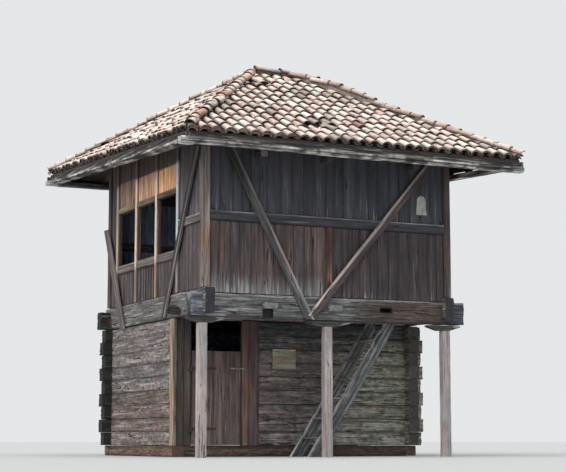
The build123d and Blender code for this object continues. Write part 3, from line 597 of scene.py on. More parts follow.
def timbers(name, seed, slot, look, *rows, **options):
    """A piece with a timber in each solid of its rows: a node, an axis, and one colour or a few to vary."""
    piece = Piece(name, seed)
    for node, axis, colours in rows:
        for low, high in solids(node):
            tint = varied(piece.random, *colours) if isinstance(colours[0], tuple) else colours
            piece.boxed(axis, low, high, tint, **options)
    return piece.make(slot, [row[0] for row in rows], look, END)


sill_colours = (tone(112, 90, 78), tone(94, 78, 70))
timbers("sill_logs", 15, "log_wood", LOG_WOOD, ("side_sills", "Y", sill_colours),
        ("cross_sills", "X", sill_colours), edge=0.02, warp=0.006, rough=0.005, grime=(0.2, 0.5))


def corner_shade(tint, place):
    """The outer face of the ground corner post is tan; the rest is greenish grey, and darker as painted
    shade.
    """
    return mixed(tone(104, 100, 88), tint, ramp(place.x, -2.2, -2.225))


timbers("ground_corner", 16, "frame_wood", WOOD, ("ground_corner_post", "Z", tone(152, 130, 112)),
        edge=0.01, warp=0.004, rough=0.003, bleach=0.2, shade=corner_shade)


# Boards
def strips(rng, start, stop, widths, least):
    """Places and widths of boards side by side. The last one takes up a rest too narrow for a board."""
    while start < stop - 0.01:
        width = rng.uniform(*widths)
        if stop - start - width < least:
            width = stop - start
        yield start, width
        start += width


def boards(piece, low, high, face, colours, widths=(0.12, 0.22), gap=0.002, settle=0.003, **options):
    """Upright boards that fill a box, with narrow gaps. Face is the axis they look along, X or Y."""
    rng = piece.random
    across = ALONG_X if face == "Y" else ALONG_Y
    across_index = 0 if face == "Y" else 1
    depth_index = 1 - across_index
    depth = high[depth_index] - low[depth_index]
    for position, width in strips(rng, low[across_index], high[across_index], widths, widths[0] * 0.6):
        middle = [0.0, 0.0, low.z]
        middle[across_index] = position + width / 2
        middle[depth_index] = (low[depth_index] + high[depth_index]) / 2 + rng.uniform(-settle, settle)
        settings = dict(edge=0.003, warp=0.003, rough=0.001, step=0.16, across_steps=4, depth_steps=1,
                        end_rough=0.002, grime=(0.3, 0.3), joint_wear=0.2)
        tint = varied(rng, *colours, spread=0.1)
        piece.timber(Vector(middle), UP, across, high.z - low.z, width - gap, depth, tint,
                     **{**settings, **options})


def lintel_shadow(tint, place):
    """Planks in the porch are darker towards the floor above."""
    return scaled(tint, 1 - 0.4 * ramp(place.z, 1.2, 2.1))


leaf_low, leaf_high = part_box("door_leaf")
jambs = Piece("doorway_planks", 17)
for low, high in solids("door_jambs"):
    colours = (tone(120, 98, 90), tone(104, 90, 88))
    # Planks left of the door are painted darker, as shade
    if low.x < leaf_low.x:
        colours = (tone(70, 68, 64), tone(80, 76, 72))
    boards(jambs, low, high, "Y", colours, widths=(0.075, 0.17), shade=lintel_shadow)
jambs.make("door_wood", ["door_jambs"], WOOD, END)

leaf = Piece("door_planks", 18)
boards(leaf, leaf_low, leaf_high, "Y", (tone(110, 98, 95), tone(102, 92, 88)), widths=(0.17, 0.3),
       settle=0.002, bleach=0.08, shade=lintel_shadow)
leaf.make("door_wood", ["door_leaf"], WOOD, END, body="door")


# Floor frame of the upper storey
# Hewn beams are darker along their lower edges, and paler along their top edges as a painted highlight
hewn = dict(edge=0.02, warp=0.018, rough=0.012, step=0.05, across_steps=8, depth_steps=5, end_rough=0.02,
            bleach=0.2, end_tint=tone(66, 68, 72), grime=(0.45, -0.35))
round_ends = dict(edge=0.08, warp=0.005, rough=0.003, end_tint=DARK_BROWN)


def shaded_tails(tint, place):
    """The back beam is painted dark, as shade, where it stands out at the sides."""
    return mixed(tint, tone(58, 54, 50), ramp(abs(place.x), 2.2, 2.26))


# Its end faces are painted dark too, as shade
back_hewn = dict(hewn, shade=shaded_tails, end_tint=tone(50, 47, 44))
timbers("side_floor_beams", 21, "beam_wood", ROUGH_WOOD, ("side_beams", "Y", (tone(108, 105, 103),)), **hewn)
timbers("back_floor_beam", 22, "beam_wood", ROUGH_WOOD, ("back_beam", "X", (tone(100, 94, 90),)),
        **back_hewn)
timbers("cross_floor_beam", 23, "beam_wood", ROUGH_WOOD, ("cross_beam", "X", (MAUVE_GREY,)), **round_ends)
timbers("back_wall_plate", 24, "beam_wood", WOOD, ("back_plate", "X", (DARK_BROWN,)), edge=0.01)

# Flat pegs through the side beams, with round heads
pegs = Piece("side_beam_pegs", 30)
peg_low, peg_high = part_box("beam_pegs")
peg_head = 0.22
peg_shoulder = 2.32
head_steps = 8
shank_inner, shank_outer = 2.012, 2.24
peg_clearance = 0.003
for side in (-1, 1):
    middle = Vector((side * (peg_high.x - peg_head / 2), (peg_low.y + peg_high.y) / 2, 0))
    rows = []
    for face_y in (peg_low.y + 0.002, peg_high.y - 0.002):
        row = [Vector((middle.x - side * peg_head / 2, face_y, peg_low.z)),
               Vector((middle.x + side * peg_head / 2, face_y, peg_low.z))]
        for turn in range(head_steps + 1):
            angle = math.pi * turn / head_steps
            reach = math.cos(angle) * peg_head / 2 * side
            top = peg_shoulder + math.sin(angle) * (peg_high.z - peg_shoulder)
            row.append(Vector((middle.x + reach, face_y, top)))
        rows.append(row)
    count = len(rows[0])
    ends = [list(range(count)), list(range(2 * count - 1, count - 1, -1))]
    rims = []
    for corner in range(count):
        following = (corner + 1) % count
        rims.append([corner, count + corner, count + following, following])
    for face in rims if side > 0 else ends:
        face.reverse()
    faces = ends + rims
    points = rows[0] + rows[1]
    grain = [tuple(point) for point in points]
    pegs.shape(points, faces, [0] * len(faces), grain, [tone(70, 68, 66)] * len(points), [0.1] * len(points))
    shank_start, shank_stop = sorted((side * shank_inner, side * shank_outer))
    shank_low = Vector((shank_start, peg_low.y + peg_clearance, peg_low.z + peg_clearance))
    shank_high = Vector((shank_stop, peg_high.y - peg_clearance, peg_shoulder - peg_clearance))
    pegs.boxed("X", shank_low, shank_high, DARK_BROWN, edge=0.003, warp=0.001, rough=0.001)
pegs.make("beam_wood", ["beam_pegs"], ROUGH_WOOD, END)


def cut_boxes(made, boxes):
    """Cuts boxes out of a piece, with the exact solver."""
    cutter_mesh = bpy.data.meshes.new("cutter")
    shape = bmesh.new()
    for low, high in boxes:
        cube = bmesh.ops.create_cube(shape, size=1.0)
        bmesh.ops.scale(shape, vec=high - low, verts=cube["verts"])
        bmesh.ops.translate(shape, vec=(low + high) / 2, verts=cube["verts"])
    shape.to_mesh(cutter_mesh)
    shape.free()
    for attribute, kind, _ in POINT_FIELDS:
        cutter_mesh.attributes.new(attribute, kind, "POINT")
    cutter = placed("cutter", cutter_mesh)
    modifier = made.modifiers.new("cut", "BOOLEAN")
    modifier.operation = "DIFFERENCE"
    modifier.solver = "EXACT"
    modifier.object = cutter
    bpy.context.view_layer.objects.active = made
    bpy.ops.object.modifier_apply(modifier=modifier.name)
    bpy.data.objects.remove(cutter)
    margin = Vector((0.004, 0.004, 0.004))
    layers = made.data.attributes
    for vertex in made.data.vertices:
        place = vertex.co
        if any(all(a <= b <= c for a, b, c in zip(low - margin, place, high + margin))
               for low, high in boxes):
            # The faces of a cut are painted near black, as painted shade in the hollow, and take no pale
            # streaks
            layers["tint"].data[vertex.index].color = full(tone(40, 36, 34))
            layers["bleach"].data[vertex.index].value = -1.0
            layers["grain"].data[vertex.index].vector = place


joist_boxes = solids("joists")
front_low, front_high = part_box("front_beam")
tenon_half_height = 0.052
long_joists = [box for box in joist_boxes if box[0].y < front_low.y + 0.01]
tenon_z = (long_joists[0][0].z + long_joists[0][1].z) / 2


def front_beam_shade(tint, place):
    """The front beam is browner at the right, bluish at both ends and paler along its upper edge as a
    painted highlight.
    """
    tint = mixed(tint, tone(86, 76, 71), ramp(place.x, 0.2, 0.8))
    waves = noise.noise(Vector((place.x * 3, place.y * 3, place.z * 22)))
    tint = mixed(tint, scaled(tone(112, 118, 130), 0.9 + 0.9 * waves), ramp(place.x, -2.0, -2.1))
    tint = mixed(tint, tone(78, 82, 90), ramp(place.x, 2.1, 2.2))
    return mixed(tint, tone(170, 168, 166), 0.6 * ramp(place.z, front_high.z - 0.04, front_high.z - 0.015))


def front_beam_bleach(place):
    """White drips run down the front beam at its left end, and its right end stays dark."""
    left_share = ramp(place.x, -1.0, -2.0)
    return 0.22 + 0.3 * left_share - 0.3 * ramp(place.x, -2.1, -2.2) - 0.2 * ramp(place.x, 0.4, 1.2)


front_hewn = dict(hewn, bleach=front_beam_bleach, shade=front_beam_shade)
front_row = ("front_beam", "X", (tone(101, 103, 103),))
front_beam = timbers("front_floor_beam", 25, "beam_wood", ROUGH_WOOD, front_row, **front_hewn)
mortise_place = 0.99
mortise_half_width = 0.11
mortise_half_height = 0.035
mortise_depth = 0.16
mortise = (
    Vector((mortise_place - mortise_half_width, front_low.y - 0.05, tenon_z - mortise_half_height)),
    Vector((mortise_place + mortise_half_width, front_low.y + mortise_depth, tenon_z + mortise_half_height)),
)
notch_depth = 0.05
notch = (
    Vector((long_joists[0][0].x + 0.01, front_low.y - 0.05, front_low.z - 0.05)),
    Vector((long_joists[0][1].x - 0.06, front_low.y + notch_depth, tenon_z - 0.05)),
)
cut_boxes(front_beam, [mortise, notch])

joists = Piece("floor_joists", 26)
inner_front = front_high.y
tenon_tint = tone(150, 150, 146)
for low, high in joist_boxes:
    joist_low = Vector((low.x, max(low.y, inner_front), low.z))
    joists.boxed("Y", joist_low, high, varied(joists.random, DARK_BROWN), edge=0.012)
    if low.y < inner_front - 0.01:
        tenon_low = Vector((low.x, low.y, tenon_z - tenon_half_height))
        tenon_high = Vector((high.x, inner_front, tenon_z + tenon_half_height))
        joists.boxed("Y", tenon_low, tenon_high, tenon_tint, edge=0.02, warp=0.008, rough=0.006,
                     step=0.03, end_tint=tenon_tint, across_steps=4, depth_steps=5, bleach=0.3)
joists.make("beam_wood", ["joists"], ROUGH_WOOD, END)

floor = Piece("floor_boards", 27)
for low, high in solids("upper_floor"):
    for position, width in strips(floor.random, low.y, high.y, (0.18, 0.27), 0.1):
        board_low = Vector((low.x, position + 0.002, low.z))
        board_high = Vector((high.x, position + width - 0.002, high.z))
        tint = varied(floor.random, DARK_BROWN, BLACK_BROWN)
        floor.boxed("X", board_low, board_high, tint, edge=0.003, step=0.3)
floor.make("floor_wood", ["upper_floor"], WOOD, END)

# Front posts and the bolsters on them
timbers("porch_posts", 28, "post_wood", SMOOTH_WOOD, ("front_posts", "Z", tone(167, 161, 160)), edge=0.014,
        warp=0.005, rough=0.004, step=0.035, bleach=0.15, across_steps=4, depth_steps=4, end_rough=0.0)

blocks = Piece("post_bolsters", 29)
tip_share, level_share = 0.36, 0.35
for low, high in solids("bolsters"):
    full_height = high.z - low.z

    def tapered(share):
        """A bolster is thinner towards both ends, and stays level on top."""
        beyond = abs(share - 0.5) * 2 - level_share
        height = 1.0 if beyond < 0 else 1.0 - (1 - tip_share) * beyond / (1 - level_share)
        return height, 1.0, full_height * (1 - height) / 2, 0.0

    def pale_tip(place, tip=high.x):
        """The right tip of a bolster is bleached."""
        return -0.2 + 1.0 * ramp(place.x, tip - 0.22, tip - 0.08)

    blocks.boxed("X", low, high, varied(blocks.random, tone(82, 80, 78)), edge=0.01, step=0.03,
                 profile=tapered, bleach=pale_tip, end_rough=0.03)
blocks.make("beam_wood", ["bolsters"], ROUGH_WOOD, END)

# Stair: stringers with worn upper edges, and treads
stringer_boxes = solids("stair_stringers")
stair_slope = 1.55
stringer_drop = 0.386
hollow_length = 0.12
hollow_depth = 0.1
stair_angle = math.atan(stair_slope)
stringer_width = stringer_drop * math.cos(stair_angle)
stair_along = Vector((math.cos(stair_angle), 0, math.sin(stair_angle)))
stair_across = Vector((-math.sin(stair_angle), 0, math.cos(stair_angle)))
tread_boxes = solids("stair_treads")
stair = Piece("stair_sides", 31)
for low, high in stringer_boxes:
    base = Vector((low.x + stringer_drop / stair_slope / 2, (low.y + high.y) / 2, 0))
    length = (high.x - base.x) / math.cos(stair_angle)
    foot_slope = -stair_across.z / stair_along.z
    head_slope = -stair_across.x / stair_along.x
    treads_along = [box[1].z / math.sin(stair_angle) for box in tread_boxes]

    def scalloped(share):
        """The upper edge is worn hollow between the treads."""
        place = share * length
        dip = 0.0
        for tread_place in treads_along:
            distance = place - tread_place
            if 0 < distance < hollow_length:
                dip = hollow_depth * (1 - distance / hollow_length)
        return 1.0 - dip, 1.0, -dip * stringer_width / 2, 0.0

    def grooved(tint, place, base=base):
        """Two dark grooves run along the side, and the upper edge is worn pale."""
        across = (place - base).dot(stair_across)
        for groove in (-0.03, 0.035):
            tint = scaled(tint, 1 - 0.55 * ramp(abs(across - groove), 0.016, 0.008))
        half = stringer_width / 2
        return mixed(tint, tone(178, 178, 174), 0.7 * ramp(across, half - 0.03, half - 0.02))

    stair.timber(base, stair_along, stair_across, length, stringer_width, high.y - low.y,
                 tone(106, 110, 110), edge=0.008, warp=0.006, rough=0.004, step=0.04, across_steps=14,
                 depth_steps=2, end_slope=(foot_slope, head_slope), profile=scalloped, bleach=0.15,
                 shade=grooved)
for low, high in tread_boxes:
    def worn_front(tint, place, front=low.y):
        """A tread is paler along its front edge."""
        return mixed(tint, tone(184, 182, 174), 0.6 * ramp(place.y, front + 0.04, front + 0.015))

    stair.boxed("Y", low, high, varied(stair.random, tone(112, 110, 104)), edge=0.012, warp=0.008,
                rough=0.004, bleach=0.25, across_steps=2, depth_steps=5, shade=worn_front)
stair.make("stair_wood", ["stair_stringers", "stair_treads"], ROUGH_WOOD, END)


# Frame of the upper storey
def low_down(start, stop, most):
    """Bleaching that grows downwards between two heights."""
    return lambda place: most * ramp(place.z, stop, start)


def corner_post_shade(tint, place):
    """The near corner post is orange brown in the middle and greyer at the foot; every corner post is darker
    under the eaves with painted shade.
    """
    if place.x < 0 and place.y < 0:
        tint = mixed(tint, tone(150, 122, 102), ramp(place.z, 2.9, 3.3) * ramp(place.z, 3.7, 3.4))
    return scaled(tint, 1 - 0.45 * ramp(place.z, 4.2, 4.7))


def light_edge(high, colour, share=0.7):
    """Paler along the upper edge."""
    return graded((colour, share, "Z", high.z - 0.03, high.z - 0.012))


# Places on the left wall: below the windows, between sill and lintel, and where two of the bays start
sill_z = 3.3
window_middle_z = 3.6
middle_bay_start, far_bay_start = -0.9, 0.3
upper = Piece("upper_frame", 32)
for low, high in solids("corner_posts"):
    front_left = low.x < 0 and low.y < 0
    tint = tone(147, 138, 134) if front_left else tone(92, 80, 78)
    upper.boxed("Z", low, high, tint, edge=0.01, warp=0.005, rough=0.003, step=0.06,
                bleach=low_down(2.6, 3.6, 0.3), shade=corner_post_shade, grime=(0.3, 0.3))
for low, high in solids("middle_posts"):
    upper.boxed("Z", low, high, tone(118, 90, 78), edge=0.008, warp=0.004, bleach=0.05, grime=(0.3, 0.3),
                shade=graded((tone(84, 66, 63), 1, "Z", 2.8, 3.2)))
for low, high in solids("middle_rails"):
    size = high - low
    along = "X" if size.x > size.y else "Y"
    colour, edge_colour = tone(106, 104, 102), PALE_GREY
    if along == "X":
        colour, edge_colour = tone(68, 70, 75), tone(150, 150, 152)
    upper.boxed(along, low, high, colour, edge=0.008, warp=0.004, rough=0.002, step=0.1, across_steps=6,
                bleach=0.08, shade=light_edge(high, edge_colour), grime=(0.6, 0.0))
for low, high in solids("window_rails"):
    colour = tone(116, 102, 80) if low.y > middle_bay_start else tone(76, 70, 64)
    if low.z < window_middle_z:
        colour = tone(98, 91, 88)
    upper.boxed("Y", low, high, colour, edge=0.006, warp=0.003, rough=0.002, across_steps=5, bleach=0.05,
                shade=light_edge(high, tone(156, 150, 144), 0.5), grime=(0.5, 0.0))
upper.make("frame_wood", ["corner_posts", "middle_posts", "middle_rails", "window_rails"], WOOD, END)

slim = Piece("slim_window_posts", 33)
slim_boxes = sorted(solids("window_posts"), key=lambda box: box[0].y)
slim_colours = (tone(190, 198, 206), tone(226, 200, 186), tone(224, 198, 182), tone(172, 166, 148))
for (low, high), pale in zip(slim_boxes, slim_colours):
    def slim_shade(tint, place, pale=pale):
        """The outer face is pale, partly its own colour and partly painted light; painted shade darkens the
        faces inside the openings and under the eaves, and it is darker below the sill.
        """
        outside = ramp(place.x, -2.2, -2.228)
        colour = mixed(scaled(tint, 0.5), pale, outside)
        colour = mixed(colour, tone(112, 100, 88), 0.8 * ramp(place.z, 3.25, 3.15))
        return mixed(colour, tone(64, 56, 52), 0.9 * ramp(place.z, 4.7, 4.76))

    slim.boxed("Z", low, high, tone(120, 100, 90), edge=0.004, warp=0.002, rough=0.001, step=0.03,
               depth_steps=5, bleach=0.1, shade=slim_shade)
slim.make("post_wood", ["window_posts"], SMOOTH_WOOD, END)


# Boarded walls
def under_eaves(tint, place):
    """Boards are painted darker towards the eaves, as shade under the roof."""
    return scaled(tint, 1 - 0.35 * ramp(place.z, 3.9, 4.6))


# Boards at the left of the front fade to grey white towards the beam
pale_foot = graded((tone(150, 150, 152), 0.75, "Z", 2.82, 2.56))
front_wall, lower_wall = Piece("front_wall_boards", 41), Piece("front_wall_lower_boards", 40)
for low, high in solids("front_boards"):
    if low.z > 3:
        boards(front_wall, low, high, "Y", (tone(78, 80, 88), tone(72, 74, 81), tone(82, 83, 90)),
               bleach=low_down(3.5, 4.4, 0.2), shade=under_eaves, widths=(0.14, 0.24))
    elif low.x < -1:
        boards(lower_wall, low, high, "Y", (tone(98, 87, 85), tone(88, 81, 81)),
               bleach=low_down(2.5, 2.9, 0.55), shade=pale_foot)
    else:
        boards(lower_wall, low, high, "Y", (tone(79, 72, 73), tone(73, 69, 71)),
               bleach=low_down(2.5, 2.7, 0.35))
front_wall.make("board_wood", ["front_boards"], BLACK_WOOD, END)
lower_wall.make("board_wood", [], WOOD, END)

plain_colours = (tone(94, 86, 84), tone(78, 72, 72), tone(102, 93, 90))
for side, seed, face in (("back", 42, "Y"), ("right", 43, "X")):
    wall = Piece(side + "_wall_boards", seed)
    for low, high in solids(side + "_boards"):
        boards(wall, low, high, face, plain_colours, bleach=0.12, shade=inner_side(low, high, under_eaves),
               grime=(0.15, 0.15))
    wall.make("board_wood", [side + "_boards"], WOOD, END)

# Below the windows, the boards of the middle and the far bay stand apart
left_wall = Piece("left_wall_boards", 44)
for low, high in solids("left_boards"):
    slats = dict(widths=(0.15, 0.22))
    colours = (tone(86, 79, 79), tone(79, 72, 73))
    if low.z > sill_z:
        colours = (tone(98, 94, 99), tone(88, 86, 91))
    elif high.z < sill_z and low.y > far_bay_start:
        slats = dict(widths=(0.14, 0.18), gap=0.014)
    elif high.z < sill_z and low.y > middle_bay_start:
        slats = dict(widths=(0.11, 0.14), gap=0.028)
    boards(left_wall, low, high, "X", colours, bleach=0.1, shade=under_eaves, **slats)
left_wall.make("board_wood", ["left_boards"], WOOD, END)

# Sheltered boards over the windows: bright below a line, with a painted shadow of the eaves above it
heads = Piece("window_head_planks", 45)
head_colours = (tone(255, 192, 136), tone(216, 172, 140), tone(146, 122, 106))
bright_tops = (4.72, 4.743, 4.772)
for bay, (low, high) in enumerate(sorted(solids("window_head_boards"), key=lambda box: box[0].y)):
    def dark_above(tint, place, bright_top=bright_tops[bay]):
        """Painted shadow of the eaves: sharply darker above a line, and a little darker just below it."""
        deeper = mixed(tint, scaled(tint, 0.68), ramp(place.z, bright_top - 0.4, bright_top))
        return mixed(deeper, tone(70, 58, 52), ramp(place.z, bright_top, bright_top + 0.02))

    boards(heads, low, high, "X", (head_colours[bay],), widths=(0.16, 0.3), shade=dark_above, bleach=0.0,
           step=0.02, grime=(0.12, 0.12))
heads.make("warm_wood", ["window_head_boards"], WOOD, END)

# Raking braces
brace_thickness = 0.04
upper_low, upper_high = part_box("corner_posts")
lit_tone = tone(214, 208, 204)


def brace(piece, top, foot, width, outward, wall, tint, lit=1, lit_share=0.0, head=(3.9, 4.5),
          head_tint=None):
    """A plank on the outside of a wall, level at its foot and head. Places are along the wall and up.

    It has a painted highlight along one edge, 1 or -1, and painted shade towards its head between two
    heights."""
    across_wall = ALONG_X if abs(outward.y) > 0.5 else ALONG_Y
    rise = Vector((top[0] - foot[0], top[1] - foot[1]))
    along = (across_wall * rise[0] + UP * rise[1]).normalized()
    across = along.cross(outward).normalized()
    start = across_wall * foot[0] + UP * foot[1] + outward * (wall + brace_thickness / 2)
    slope = -across.z / along.z

    def shade(tint, place):
        """The painted shade at the head and the painted highlight along one edge of the brace."""
        tint = mixed(tint, head_tint, ramp(place.z, *head)) if head_tint else tint
        inset = width / 2 - (place - start).dot(across) * lit
        strength = lit_share * ramp(inset, 0.045, 0.03) * (1 - 0.6 * ramp(place.z, 3.2, 4.4))
        return mixed(tint, lit_tone, strength)

    piece.timber(start, along, across, rise.length, width, brace_thickness, tint, edge=0.005, warp=0.004,
                 end_slope=(slope, slope), across_steps=8, bleach=0.1, shade=shade)


struts = Piece("raking_braces", 46)
front, left, right, back = -ALONG_Y, -ALONG_X, ALONG_X, ALONG_Y
head_z = 4.83
wall_middle = (upper_low.y + upper_high.y) / 2
brace(struts, (-1.8, head_z), (-0.4, 2.16), 0.14, front, -upper_low.y, tone(80, 82, 82), lit_share=0.35,
      head_tint=tone(46, 46, 50))
brace(struts, (1.856, head_z), (-0.37, 2.215), 0.135, front, -upper_low.y, tone(84, 74, 73), lit=-1,
      lit_share=0.95, head=(3.9, 4.7), head_tint=tone(62, 58, 58))
brace(struts, (-2.03 + wall_middle, head_z), (-0.63 + wall_middle, 2.24), 0.13, left, upper_high.x,
      tone(48, 46, 47), lit_share=0.3)
brace(struts, (2.26 + wall_middle, 4.03), (1.33 + wall_middle, 2.18), 0.19, left, upper_high.x,
      tone(90, 85, 85), lit_share=0.2)
for end in (-1, 1):
    for outward, wall, middle in ((right, upper_high.x, wall_middle), (back, upper_high.y, 0.0)):
        brace(struts, (end * 1.74 + middle, head_z), (end * 0.25 + middle, 2.29), 0.15, outward, wall,
              tone(92, 82, 78))
struts.make("frame_wood", ["braces"], WOOD, END)

# Ceiling ties, whose pale ends show, and their rails
ties = Piece("ceiling_frame", 47)
for low, high in solids("ceiling_ties"):
    tie_end = tone(138, 138, 136) if low.x < -0.8 else tone(84, 84, 88)
    ties.boxed("Y", low, high, BLACK_BROWN, edge=0.012, end_tint=tie_end, end_rough=0.01)
for low, high in solids("ceiling_rails"):
    ties.boxed("X", low, high, DARK_BROWN, edge=0.01)
ties.make("frame_wood", ["ceiling_ties", "ceiling_rails"], WOOD, END)

# Roof: the four slopes, from the tiled covering and the deck of the CAD part
tile_depth = 0.12
tile_low, tile_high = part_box("roof_tiles")
tile_points = np.array([v.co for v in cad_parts["roof_tiles"].data.vertices])
deck_points = np.array([v.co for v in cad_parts["roof_deck"].data.vertices])


def eave_corner(x_side, y_side):
    """The top of the covering at one corner of the eaves."""
    x = tile_high.x if x_side > 0 else tile_low.x
    y = tile_high.y if y_side > 0 else tile_low.y
    near = (abs(tile_points[:, 0] - x) < 0.01) & (abs(tile_points[:, 1] - y) < 0.01)
    return Vector((x, y, tile_points[near][:, 2].min() + tile_depth))


ridge_points = deck_points[deck_points[:, 2] > deck_points[:, 2].max() - 0.004]
ridge_y = (ridge_points[:, 1].min() + ridge_points[:, 1].max()) / 2
ridge_z = ridge_points[:, 2].max() + tile_depth
ridge_left = Vector((ridge_points[:, 0].min(), ridge_y, ridge_z))
ridge_right = Vector((ridge_points[:, 0].max(), ridge_y, ridge_z))
near_left, near_right = eave_corner(-1, -1), eave_corner(1, -1)
far_left, far_right = eave_corner(-1, 1), eave_corner(1, 1)
slopes = {
    "front": (near_left, near_right, ridge_right, ridge_left),
    "right": (near_right, far_right, ridge_right, ridge_right),
    "back": (far_right, far_left, ridge_left, ridge_right),
    "left": (far_left, near_left, ridge_left, ridge_left),
}

# Sizes of one tile and of the pattern, whose columns lie on the ribs of the CAD part
tile_length = 0.42
tile_exposure = 0.29
tile_pitch = 0.205
tile_relief = 0.06
tile_radius = 0.0914
tile_arc = 1.126
tile_taper = 0.84
tile_wall = 0.014
# The share of a tile's length that its painted rim shadow covers
rim_shade_share = 0.11
pan_height = 0.048
cover_height = 0.006
# Pans are painted darker than covers, as painted shade between the covers
pan_shade = 0.42
hip_reach = 0.12
doubled_length = 0.2
doubled_depth = 0.018


def tile_shell(wide, narrow, length, arc, around):
    """A curved tile about its own axis, hollow side down: rows of points outside, then inside."""
    rows = []
    shares = (0.0, rim_shade_share, 1.0)
    steps = len(shares) - 1
    for side in (0.0, tile_wall):
        for share in shares:
            radius = wide + (narrow - wide) * share - side
            for turn in range(around + 1):
                angle = arc * (turn / around * 2 - 1)
                rows.append((radius * math.sin(angle), length * share, radius * math.cos(angle)))
    across = around + 1
    layer = (steps + 1) * across
    faces = []
    for step in range(steps):
        for turn in range(around):
            first = step * across + turn
            quad = [first, first + 1, first + 1 + across, first + across]
            faces += [quad, [layer + quad[index] for index in (0, 3, 2, 1)]]
    for turn in range(around):
        faces.append([turn + 1, turn, layer + turn, layer + turn + 1])
        last = steps * across + turn
        faces.append([last, last + 1, layer + last + 1, layer + last])
    for step in range(steps):
        first = step * across
        faces.append([first, first + across, layer + first + across, layer + first])
        last = first + around
        faces.append([last + across, last, layer + last, layer + last + across])
    return rows, faces


def lay_tile(piece, origin, directions, tint, wide, length, turned=0.0, lean=0.0, roll=0.0, pan=False,
             around=7, arc=tile_arc, rim_dark=0.7):
    """Lays one tile with the middle of its lower end at the origin."""
    across, up_slope, normal = directions
    narrow = wide * tile_taper
    if pan:
        wide, narrow = narrow, wide
    rows, faces = tile_shell(wide, narrow, length, arc, around)
    edge_height = wide * math.cos(arc)
    side = (across * math.cos(turned) + up_slope * math.sin(turned)).normalized()
    ahead = normal.cross(side).normalized()
    ahead = (ahead * math.cos(lean) + normal * math.sin(lean)).normalized()
    top = side.cross(ahead)
    side = (side * math.cos(roll) + top * math.sin(roll)).normalized()
    top = side.cross(ahead)
    points, grain, shades = [], [], []
    seed = piece.random.uniform(-20, 20)
    layer = len(rows) // 2
    per_row = around + 1
    for index, (x, y, z) in enumerate(rows):
        height = z - edge_height
        if pan:
            height = -height
        points.append(origin + side * x + ahead * y + top * height)
        grain.append((x + seed, y, z))
        station, turn = divmod(index % layer, per_row)
        # Painted shade makes the inside of a tile dark, and its lower rim dark as the shadow line under each
        # row; the outer face also darkens towards its sides
        valley = 0.9 * ramp(abs(turn * 2 / around - 1), 0.45, 1.0)
        shades.append(0.9 if index >= layer else (rim_dark if station == 0 else valley))
    if pan:
        faces = [face[::-1] for face in faces]
    piece.shape(points, faces, [0] * len(faces), grain, [tint] * len(rows), shades)


def tile_colour(rng):
    """Most tiles are pale, a few are redder, newer or grey."""
    pick = rng.random()
    if pick < 0.7:
        base = mixed(TILE_CREAM, TILE_PINK, rng.random())
    elif pick < 0.86:
        base = TILE_PINK
    elif pick < 0.92:
        base = mixed(TILE_RED, TILE_PINK, rng.uniform(0.4, 1.0))
    else:
        base = TILE_GREY
    return scaled(base, rng.uniform(0.8, 1.2))


def slope_frame(corners):
    """Directions of a slope: along its eave, up the slope and out of it."""
    first, second, third, _ = corners
    across = (second - first).normalized()
    normal = across.cross(third - first).normalized()
    return across, normal.cross(across).normalized(), normal


def trim(made, planes):
    """Cuts a mesh off beyond upright planes, and closes what is cut."""
    shape = bmesh.new()
    shape.from_mesh(made.data)
    for point, outward in planes:
        everything = shape.verts[:] + shape.edges[:] + shape.faces[:]
        cut = bmesh.ops.bisect_plane(shape, geom=everything, plane_co=point, plane_no=outward,
                                     clear_outer=True)
        rim = [item for item in cut["geom_cut"] if isinstance(item, bmesh.types.BMEdge)]
        bmesh.ops.holes_fill(shape, edges=rim, sides=0)
    shape.to_mesh(made.data)
    shape.free()


def hip_plane(corner, ridge_end, inside):
    """The upright plane through a hip, facing away from a point inside the slope."""
    along = ridge_end - corner
    outward = Vector((along.y, -along.x, 0)).normalized()
    if (inside - corner).dot(outward) > 0:
        outward = -outward
    return corner, outward


# Slipped or broken tiles on the front slope: places along the eave and up the slope, then their reach
broken_places = (
    (-0.25, 0.61, 0.2, 0.14), (-0.56, 0.65, 0.12, 0.08), (0.86, 0.76, 0.16, 0.1), (1.84, 0.98, 0.14, 0.1),
)
red_tile_place = (0.33, 0.875)
doubled_stop = -1.1


